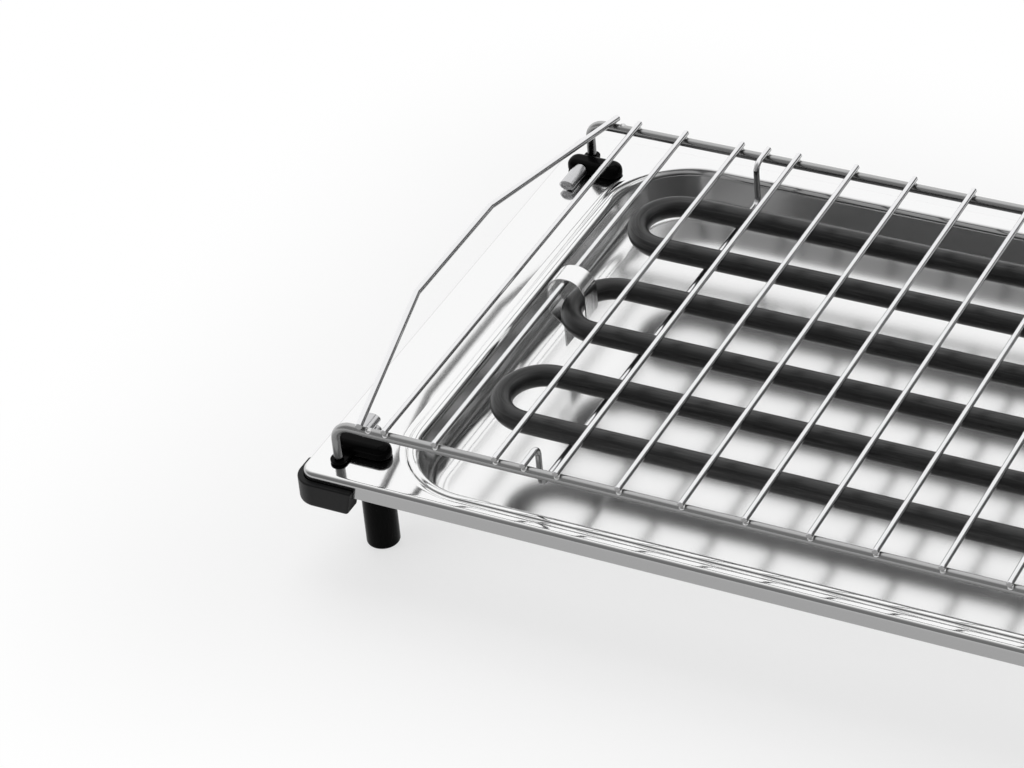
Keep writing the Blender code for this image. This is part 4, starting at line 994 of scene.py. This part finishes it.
class GRILL_OT_rails(bpy.types.Operator):
    """Adds the front and rear rails with their legs"""
    bl_idname = "grill.rails"
    bl_label = "Rails"

    bend = 0.0065

    def execute(self, context):
        for side in ("front", "rear"):
            low, high, middle = box_of("grate_rail_" + side)
            half = (high.y - low.y) / 2
            ends = (low.x + half, high.x - half)
            legs = [[(x, middle.y, z) for z in (low.z, high.z - half)] for x in ends]
            path = rounded_path(legs[0] + legs[1][::-1], self.bend)
            add_wire("rail_" + side, "grate_rail_" + side, path, 2 * half, "rail_wire")
        return {"FINISHED"}


class GRILL_OT_cross_wires(bpy.types.Operator):
    """Adds the cross wires"""
    bl_idname = "grill.cross_wires"
    bl_label = "Cross wires"

    def execute(self, context):
        for node in WIRES:
            low, high, middle = box_of(node)
            path = [Vector((middle.x, y, middle.z))
                    for y in (low.y, low.y + OVERRUN, high.y - OVERRUN, high.y)]
            add_wire(node.replace("grate", "cross"), node, path, high.z - low.z)
        return {"FINISHED"}


class GRILL_OT_handles(bpy.types.Operator):
    """Adds the bowed handles at both ends of the grate"""
    bl_idname = "grill.handles"
    bl_label = "Handles"

    rise = 0.0035
    grip = 0.0625
    reach = 0.0172
    bend = 0.006

    def execute(self, context):
        for side, side_x in (("left", -1), ("right", 1)):
            low, high, middle = box_of("grate_handle_" + side)
            half = (high.z - low.z - self.rise) / 2
            outer = low.x + half if side_x < 0 else high.x - half
            foot, bottom, top = outer - side_x * self.reach, low.z + half, high.z - half
            corners = [(foot, low.y, bottom), (outer, middle.y - self.grip / 2, top),
                       (outer, middle.y + self.grip / 2, top), (foot, high.y, bottom)]
            add_wire("handle_" + side, "grate_handle_" + side, rounded_path(corners, self.bend), 2 * half)
        return {"FINISHED"}


class GRILL_OT_stirrups(bpy.types.Operator):
    """Adds the wires that hang from the rails and carry the element"""
    bl_idname = "grill.stirrups"
    bl_label = "Stirrups"

    reach = 0.0127
    bend = 0.0035

    def execute(self, context):
        for side in ("left", "right"):
            low, high, middle = box_of("element_stirrup_" + side)
            half = (high.x - low.x) / 2
            bottom, top = low.z + half, high.z - half
            front, rear = low.y + self.reach, high.y - self.reach
            corners = [(middle.x, y, z) for y, z in ((low.y, top), (front, top), (front, bottom),
                                                     (rear, bottom), (rear, top), (high.y, top))]
            add_wire("stirrup_" + side, "element_stirrup_" + side, rounded_path(corners, self.bend), 2 * half)
        return {"FINISHED"}


class GRILL_OT_welds(bpy.types.Operator):
    """Adds a weld where each wire crosses a rail"""
    bl_idname = "grill.welds"
    bl_label = "Welds"

    outward = 0.25
    drop = 1 / 3
    depth = 0.8
    height = 0.5
    lump = 0.00012
    lump_scale = 1.7
    lump_shift = 900

    def execute(self, context):
        width = settings("wire").weld
        places = [box_of(node)[2].x for node in WIRES + ["element_stirrup_left", "element_stirrup_right"]]
        for side, side_x in (("left", -1), ("right", 1)):
            low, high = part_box("grate_handle_" + side)
            places.append((low.x if side_x > 0 else high.x) - side_x * (high.z - low.z) / 4)
        for side, side_y in (("front", -1), ("rear", 1)):
            low, high, middle = box_of("grate_rail_" + side)
            radius = (high.y - low.y) / 2
            shape = bmesh.new()
            for x in places:
                centre = Vector((x, middle.y + side_y * radius * self.outward, high.z - radius * self.drop))
                self.add_bead(shape, centre, Vector((width / 2, radius * self.depth, radius * self.height)))
            beads = put("welds_" + side, shape, "weld_metal")
            smooth(beads, 60)
            settle(beads, "grate_unit", "chrome_wire")
        return {"FINISHED"}

    def add_bead(self, shape, centre, size):
        """A lumpy bead, wide across the wire and low on the rail."""
        made = bmesh.ops.create_icosphere(shape, subdivisions=3, radius=1)
        for vert in made["verts"]:
            lump = noise.noise(vert.co * self.lump_scale + centre * self.lump_shift) * self.lump
            vert.co = centre + vert.co * size + vert.co * lump


class GRILL_OT_element(bpy.types.Operator):
    """Adds the bent heating tube"""
    bl_idname = "grill.element"
    bl_label = "Heating element"

    diameter = 0.0085
    pitch = 0.030
    runs = 6
    left_reach = 0.14595
    right_reach = 0.133
    feed_reach = 0.155
    terminal_spread = 0.040
    setback = 0.0006

    def execute(self, context):
        _, high, centre = box_of("heating_element")
        middle = (self.runs - 1) / 2
        runs = [(index - middle) * self.pitch - self.setback for index in range(self.runs)]
        front, rear = (side * self.terminal_spread / 2 - self.setback for side in (-1, 1))
        feed_x = TRAY_MIDDLE.x + self.feed_reach
        corners = [(high.x, front), (feed_x, front), (feed_x, runs[0])]
        for index, (y, after) in enumerate(zip(runs, runs[1:])):
            turn = TRAY_MIDDLE.x + (self.right_reach if index % 2 else -self.left_reach)
            corners += [(turn, y), (turn, after)]
        corners += [(feed_x, runs[-1]), (feed_x, rear), (high.x, rear)]
        path = rounded_path([(x, y, centre.z) for x, y in corners], self.pitch / 2, 2 * ARC_STEPS)
        tube = sweep("heating_tube", path, [self.diameter / 2] * len(path), settings("element").sides,
                     "element_coating")
        settle(tube, "grate_unit", "element_coat", "heating_element")
        return {"FINISHED"}


class GRILL_OT_clip(bpy.types.Operator):
    """Adds the spring strap that ties the element to a cross wire"""
    bl_idname = "grill.clip"
    bl_label = "Element clip"

    thickness = 0.0006
    loop_radius = 0.0075
    right_drop = 0.003
    left_drop = 0.0026
    tail_inset = 0.0062
    tail_top_drop = 0.008
    tail_bend = 0.0015
    tail_width = 0.009

    def execute(self, context):
        low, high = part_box("element_clip")
        left, right = low.x + self.thickness / 2, high.x - self.thickness / 2
        top, waist = high.z - self.thickness / 2, box_of("heating_element")[2].z
        loop = [(right, 0, waist - self.right_drop), (right, 0, top), (left, 0, top), (left, 0, waist)]
        tail_x = left + self.tail_inset
        tail = [(left, 0, waist), (left, 0, waist - self.left_drop), (tail_x, 0, waist - self.tail_top_drop),
                (tail_x, 0, low.z)]
        strap = rounded_path(loop, self.loop_radius, CORNER_STEPS)[:-1]
        strap += rounded_path(tail, self.tail_bend)
        shape = bmesh.new()
        pairs = [[shape.verts.new((place.x, y, place.z)) for y in (low.y, high.y)] for place in strap[:-1]]
        pairs.append([shape.verts.new((tail_x, y, low.z)) for y in (low.y, low.y + self.tail_width)])
        for near, far in zip(pairs, pairs[1:]):
            shape.faces.new((near[0], near[1], far[1], far[0]))
        face_outwards(shape)
        clip = put("clip_strap", shape, "strap_steel")
        thicken(clip, self.thickness, 0)
        bevel(clip, self.thickness / 5, 2, 60)
        settle(bake(clip), "grate_unit", "mirror_steel", "element_clip")
        return {"FINISHED"}


class GRILL_OT_housing(bpy.types.Operator):
    """Adds the two shells of the control housing and their screws"""
    bl_idname = "grill.housing"
    bl_label = "Control housing"

    corner = 0.008
    edge = 0.002
    wall = 0.0024
    saddle_thickness = 0.0022
    saddle_depth = 0.092
    saddle_reach = 0.024
    boss = 0.0072
    boss_inset = 0.0077
    screw_bore = 0.003
    screw_head = 0.0026
    screw_face = 0.002236
    screw_shank = 0.0011
    screw_length = 0.0104
    inlet_margin = 0.003
    roof_bores = {"thermostat_spindle": 0.0106, "pilot_lamp_lens": 0.0086}

    def execute(self, context):
        inset = self.boss_inset
        places = [(x, y) for x in (COVER_LOW.x + inset, COVER_HIGH.x - inset)
                  for y in (COVER_LOW.y + inset, COVER_HIGH.y - inset)]
        self.add_base(places)
        self.add_cover(places)
        self.add_screws(places)
        return {"FINISHED"}

    def shell(self, name, section, finish=None):
        """A body with the housing's outline; the section is (inset from the outer face, height)."""
        half = (COVER_HIGH - COVER_LOW) / 2
        return loft(name, nested(half.x, half.y, self.corner, COVER_MIDDLE, section), finish)

    def add_base(self, places):
        """The lower shell with the saddle that rests on the rim."""
        bottom, split = BASE_LOW.z, BASE_HIGH.z
        floor, saddle_low = bottom + self.wall, RIM_TOP + GAP
        edge = arc((self.edge, bottom + self.edge), self.edge, -QUARTER, -2 * QUARTER)
        base = self.shell("housing_lower_shell", edge + [(0, split)], "satin_black_plastic")
        saddle = block((COVER_LOW.x - self.saddle_reach, -self.saddle_depth / 2, saddle_low),
                       (COVER_LOW.x + self.wall / 2, self.saddle_depth / 2,
                        saddle_low + self.saddle_thickness))
        bevel(saddle, self.saddle_thickness / 5, 2)
        combine(base, saddle, "UNION")
        combine(base, self.shell("hollow", [(self.wall, floor), (self.wall, split + OVERRUN)]))
        tube_holes(base, COVER_LOW.x, COVER_LOW.x + self.wall)
        for place in places:
            combine(base, rod(self.screw_bore, place, bottom - OVERRUN, floor + OVERRUN, steps=HOLE_STEPS))
        low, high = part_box("inlet_socket")
        margin = self.inlet_margin
        combine(base, block((low.x + margin, BASE_HIGH.y - self.wall - OVERRUN, low.z + margin),
                            (high.x - margin, BASE_HIGH.y + OVERRUN, high.z - margin)))
        settle(bake(base), "grate_unit", "black_satin", "housing_base")

    def add_cover(self, places):
        """The upper shell with the holes for the spindle's bush and the lens."""
        split, top = BASE_HIGH.z + GAP, COVER_HIGH.z
        roof = top - self.wall
        edge = arc((self.edge, top - self.edge), self.edge, 2 * QUARTER, QUARTER)
        cover = self.shell("housing_upper_shell", [(0, split)] + edge, "satin_black_plastic")
        combine(cover, self.shell("hollow", [(self.wall, split - OVERRUN), (self.wall, roof)]))
        tube_holes(cover, COVER_LOW.x, COVER_LOW.x + self.wall)
        for place in places:
            combine(cover, rod(self.boss, place, BASE_LOW.z + self.wall + GAP, top - self.wall / 2,
                               steps=HOLE_STEPS), "UNION")
        for node, bore in self.roof_bores.items():
            combine(cover, rod(bore, box_of(node)[2].xy, roof - OVERRUN, top + OVERRUN))
        settle(bake(cover), "grate_unit", "black_satin", "housing_cover")

    def add_screws(self, places):
        """Four small countersunk screws in the base."""
        low, head, shank, tip = BASE_LOW.z, self.screw_head, self.screw_shank, BASE_LOW.z + self.screw_length
        profile = [(0, low), (self.screw_face, low), (head, low + GAP), (shank, low + head - shank + GAP),
                   (shank, tip), (0, tip)]
        for index, place in enumerate(places, start=1):
            add_cross_screw(f"housing_screw_{index}", profile, place, head / 2, head / 9, head / 2,
                            "grate_unit")


class GRILL_OT_flange(bpy.types.Operator):
    """Adds the plate at the element's ends, its collars and its screws"""
    bl_idname = "grill.flange"
    bl_label = "Element flange"

    corner = 0.002
    collar = ((0.00428, 0), (0.0054, 0), (0.0054, 0.0004), (0.00428, 0.0012))
    screw_spread = 0.058
    screw_height = 0.0017
    setback = 0.0006
    screw = ((0, 0.0011), (0.0009, 0.001), (0.00145, 0.0006), (0.0016, 0), (0.001, 0), (0.001, -0.006),
             (0, -0.006))

    def execute(self, context):
        low, high, middle = box_of("element_flange")
        half = (high - low) / 2
        outline = rounded(half.y, half.z, self.corner, middle.yz, ARC_STEPS)
        plate = slab("flange_plate", outline, low.x, high.x, "strap_steel", "X")
        tube_holes(plate, low.x, high.x)
        for side in ("front", "rear"):
            place = (low.x, *box_of("terminal_pin_" + side)[2].yz)
            collar = turned("tube_collar_" + side, self.collar, place, "weld_metal", (-1, 0, 0))
            settle(collar, "grate_unit", "mirror_steel")
        for index, side_y in enumerate((-1, 1), start=1):
            place = (low.x, side_y * self.screw_spread / 2 - self.setback, low.z + self.screw_height)
            screw = turned(f"flange_screw_{index}", self.screw, place, "zinc_plate", (-1, 0, 0), HOLE_STEPS)
            settle(screw, "grate_unit", "screw_steel")
        settle(bake(plate), "grate_unit", "mirror_steel", "element_flange")
        return {"FINISHED"}


class GRILL_OT_knob(bpy.types.Operator):
    """Adds the control knob and the dial print round it"""
    bl_idname = "grill.knob"
    bl_label = "Control knob"

    skirt = 0.004
    taper = 0.001
    bore = 0.0066
    grip_width = 0.009
    grip_length = 0.031
    grip_edge = 0.0016
    pointer_start = 0.004
    marks = 6
    dial_turn = math.radians(270)
    tick_start = 0.0011
    tick_end = 0.0026
    number_reach = 0.0048
    number_size = 0.0038

    def execute(self, context):
        low, high, middle = box_of("control_knob")
        radius, skirt_top = (high.x - low.x) / 2, low.z + self.skirt
        edge = arc((radius - 2 * self.taper, skirt_top - self.taper), self.taper, QUARTER, 0)
        profile = [(0, skirt_top)] + edge + [(radius, low.z + GAP), (radius - GAP, low.z), (0, low.z)]
        knob = turned("knob", profile, (*middle.xy, 0), "gloss_black_plastic", steps=2 * FINE_STEPS)
        knob.modifiers.clear()
        half_x, half_y = self.grip_width / 2, self.grip_length / 2
        grip = block((middle.x - half_x, middle.y - half_y, low.z + self.skirt / 2),
                     (middle.x + half_x, middle.y + half_y, high.z))
        bevel(grip, self.grip_edge)
        combine(knob, grip, "UNION")
        bore_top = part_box("thermostat_spindle")[1].z + GAP
        combine(knob, rod(self.bore, middle.xy, low.z - OVERRUN, bore_top))
        settle(bake(knob), "knob", "black_gloss", "control_knob")
        self.add_pointer(middle, high.z)
        self.add_dial(middle, radius)
        return {"FINISHED"}

    def add_pointer(self, middle, top):
        """A painted line on the grip."""
        half = self.grip_width / 18
        start, end = self.pointer_start, self.grip_length / 2 - 1.3 * self.grip_edge
        outline = [(-half, start), (half, start), (half, end), (-half, end)]
        line = slab("knob_pointer", [(middle.x + x, middle.y + y) for x, y in outline], top - GAP / 2,
                    top + GAP / 5, "dial_paint")
        settle(line, "knob", "black_gloss")

    def add_dial(self, middle, radius):
        """Ticks and plain numbers on the cover."""
        centre = Vector((*middle.xy, COVER_HIGH.z))
        rise = Vector((0, 0, GAP / 3))
        shape = bmesh.new()
        for number in range(self.marks):
            turn = QUARTER - self.dial_turn * number / (self.marks - 1)
            out = Vector((math.cos(turn), math.sin(turn), 0))
            across = Vector((-out.y, out.x, 0)) * GAP
            near, far = out * (radius + self.tick_start), out * (radius + self.tick_end)
            corners = [near - across, far - across, far + across, near + across]
            prism(shape, [[centre + level + corner for corner in corners] for level in (-rise, rise)])
            self.add_number(number, centre + out * (radius + self.number_reach))
        face_outwards(shape)
        settle(put("dial_ticks", shape, "dial_paint"), "grate_unit", "black_satin")

    def add_number(self, number, place):
        name = f"dial_number_{number}"
        text = bpy.data.curves.new(name, "FONT")
        text.body = str(number)
        text.size = self.number_size
        text.extrude = GAP / 3
        text.align_x = text.align_y = "CENTER"
        settle(put(name, text, "dial_paint", place), "grate_unit", "black_satin")


class GRILL_OT_pilot_lamp(bpy.types.Operator):
    """Adds the lens of the heating lamp"""
    bl_idname = "grill.pilot_lamp"
    bl_label = "Pilot lamp"

    dome = 0.0014
    flange_height = 0.0012
    wall = 0.0011
    shank = 0.004

    def execute(self, context):
        low, high, middle = box_of("pilot_lamp_lens")
        flange, inner = (high.x - low.x) / 2, self.shank - self.wall
        seat = high.z - self.dome - self.flange_height
        profile = crown(flange, seat + self.flange_height, self.dome)
        profile += [(flange, seat), (self.shank, seat), (self.shank, low.z), (inner, low.z),
                    (inner, seat - self.wall), (0, seat - self.wall)]
        lens = turned("lamp_lens", profile, (*middle.xy, 0), "red_lens")
        settle(lens, "grate_unit", "lens_red", "pilot_lamp_lens")
        return {"FINISHED"}


class GRILL_OT_inlet(bpy.types.Operator):
    """Adds the appliance inlet in the rear wall"""
    bl_idname = "grill.inlet"
    bl_label = "Appliance inlet"

    margin = 0.003
    corner = 0.003
    wall = 0.0015
    flange = 0.002
    floor = 0.004
    slot_pitch = 0.007
    slot_offset = 0.003
    slot_half = (0.0013, 0.0023)

    def execute(self, context):
        low, high, middle = box_of("inlet_socket")
        half = (high - low) / 2

        def part(name, grow, start, end, finish=None):
            outline = rounded(half.x - self.margin + grow, half.z - self.margin + grow, self.corner + grow,
                              middle.xz, ARC_STEPS)
            return slab(name, outline, start, end, finish, "Y")

        socket = part("inlet_shell", 0, low.y, high.y - self.flange / 2, "gloss_black_plastic")
        plate = part("inlet_plate", self.margin, high.y - self.flange, high.y)
        bevel(plate, self.flange / 4, 3)
        combine(socket, plate, "UNION")
        combine(socket, part("recess", -self.wall, low.y + self.floor, high.y + OVERRUN))
        half_x, half_z = self.slot_half
        for number in (-1, 0, 1):
            x = middle.x + number * self.slot_pitch
            z = middle.z + (-self.slot_offset if number else self.slot_offset)
            combine(socket, block((x - half_x, low.y - OVERRUN, z - half_z),
                                  (x + half_x, low.y + self.floor + OVERRUN, z + half_z)))
        settle(bake(socket), "grate_unit", "black_gloss", "inlet_socket")
        return {"FINISHED"}


class GRILL_OT_inner_parts(bpy.types.Operator):
    """Finishes the pieces that stay as the frame has them"""
    bl_idname = "grill.inner_parts"
    bl_label = "Inner parts"

    finishes = {
        "steatite": ("thermostat_body", "terminal_block"),
        "zinc_plate": ("thermostat_spindle", "terminal_pin_front", "terminal_pin_rear"),
        "lamp_glass": ("pilot_lamp",),
        "stamped_brass": ("inlet_contacts",),
        "lead_sleeve": ("lead_element", "lead_inlet", "lead_thermostat"),
    }

    def execute(self, context):
        for finish, nodes in self.finishes.items():
            for node in nodes:
                for slot in frame["nodes"][node].material_slots:
                    slot.material = finish_named(finish)
        return {"FINISHED"}


class GRILL_OT_stage(bpy.types.Operator):
    """Adds the floor, the lamps and the surrounding light"""
    bl_idname = "grill.stage"
    bl_label = "Stage"

    lamps = (("key", (-0.7, 0.75, 1.25), 1.5), ("fill", (-1.3, -0.9, 0.9), 0.8))

    def execute(self, context):
        stage = settings("stage")
        shape = bmesh.new()
        bmesh.ops.create_grid(shape, x_segments=8, y_segments=8, size=stage.floor_size / 2)
        put("floor", shape, "floor_paper")
        for name, place, size in self.lamps:
            self.add_lamp(name + "_lamp", place, size, getattr(stage, name + "_power"))
        self.add_sky(context.scene, stage)
        context.scene.view_settings.view_transform = "Standard"
        return {"FINISHED"}

    def add_lamp(self, name, place, size, power):
        data = bpy.data.lights.new(name, "AREA")
        data.shape = "DISK"
        data.size = size
        data.energy = power
        lamp = bpy.data.objects.new(name, data)
        lamp.visible_glossy = False
        lamp.location = place
        aim_at = Vector((TRAY_MIDDLE.x, 0, RIM_TOP)) - Vector(place)
        lamp.rotation_euler = aim_at.to_track_quat("-Z", "Y").to_euler()
        collection("stage").objects.link(lamp)

    def add_sky(self, scene, stage):
        """White to the camera, a soft even light on everything else, and in metal a white room that is dim
        in front and dark low on the right."""
        scene.world = bpy.data.worlds.new("surroundings")
        scene.world.use_nodes = True
        tree = scene.world.node_tree
        tree.nodes.clear()
        toward = add_node(tree, "ShaderNodeTexCoord").outputs["Generated"]
        front, right, low_side = (
            ranged(tree, part_of(tree, toward, axis), start, end, smoothly=True)
            for axis, start, end in ROOM_SIDES)
        room = blended(tree, front, (1, 1, 1), (stage.dim,) * 3)
        room = blended(tree, scalar_math(tree, "MULTIPLY", right, low_side), room, (stage.dark,) * 3)
        glossy = add_node(tree, "ShaderNodeLightPath").outputs["Is Glossy Ray"]
        soft = add_node(tree, "ShaderNodeBackground", {"Strength": stage.sky})
        white = add_node(tree, "ShaderNodeBackground", {"Color": blended(tree, glossy, (1, 1, 1), room)})
        mix = add_node(tree, "ShaderNodeMixShader", {"Fac": seen_rays(tree), 1: soft.outputs["Background"],
                                                     2: white.outputs["Background"]})
        add_node(tree, "ShaderNodeOutputWorld", {"Surface": mix.outputs["Shader"]})


class GRILL_OT_camera(bpy.types.Operator):
    """Adds the camera at the photograph's viewing angle"""
    bl_idname = "grill.camera"
    bl_label = "Camera"

    place = (0.41515, -1.0847, 0.9164)
    forward = (-0.40321, 0.69938, -0.59015)
    roll = math.radians(-5.66)
    nearest = 0.05
    farthest = 60

    def execute(self, context):
        data = bpy.data.cameras.new("camera")
        data.lens = settings("stage").lens
        data.clip_start = self.nearest
        data.clip_end = self.farthest
        camera = bpy.data.objects.new("camera", data)
        camera.location = self.place
        turn = Vector(self.forward).to_track_quat("-Z", "Y") @ Quaternion((0, 0, 1), self.roll)
        camera.rotation_euler = turn.to_euler()
        collection("stage").objects.link(camera)
        context.scene.camera = camera
        return {"FINISHED"}


PIECES = (
    GRILL_OT_tray,
    GRILL_OT_corner_caps,
    GRILL_OT_feet,
    GRILL_OT_rest_levers,
    GRILL_OT_rest_pins,
    GRILL_OT_rails,
    GRILL_OT_cross_wires,
    GRILL_OT_handles,
    GRILL_OT_stirrups,
    GRILL_OT_welds,
    GRILL_OT_element,
    GRILL_OT_clip,
    GRILL_OT_housing,
    GRILL_OT_flange,
    GRILL_OT_knob,
    GRILL_OT_pilot_lamp,
    GRILL_OT_inlet,
    GRILL_OT_inner_parts,
    GRILL_OT_stage,
    GRILL_OT_camera,
)


class GRILL_PT_pieces(bpy.types.Panel):
    """Lists the grill's pieces and settings"""
    bl_idname = "GRILL_PT_pieces"
    bl_label = "Electric Table Grill"
    bl_space_type = "VIEW_3D"
    bl_region_type = "UI"
    bl_category = "Grill"

    def draw(self, context):
        for piece in PIECES:
            self.layout.operator(piece.bl_idname)
        for name, group in SETTINGS.items():
            box = self.layout.box()
            for key in group.__annotations__:
                box.prop(getattr(context.scene, name), key)


CLASSES = (*SETTINGS.values(), *PIECES, GRILL_PT_pieces)


def register():
    for kind in CLASSES:
        bpy.utils.register_class(kind)
    for name, group in SETTINGS.items():
        setattr(bpy.types.Scene, name, PointerProperty(type=group))


def unregister():
    for name in SETTINGS:
        delattr(bpy.types.Scene, name)
    for kind in reversed(CLASSES):
        bpy.utils.unregister_class(kind)


def main():
    register()
    for piece in PIECES:
        group, name = piece.bl_idname.split(".")
        getattr(getattr(bpy.ops, group), name)()


if __name__ == "__main__":
    main()
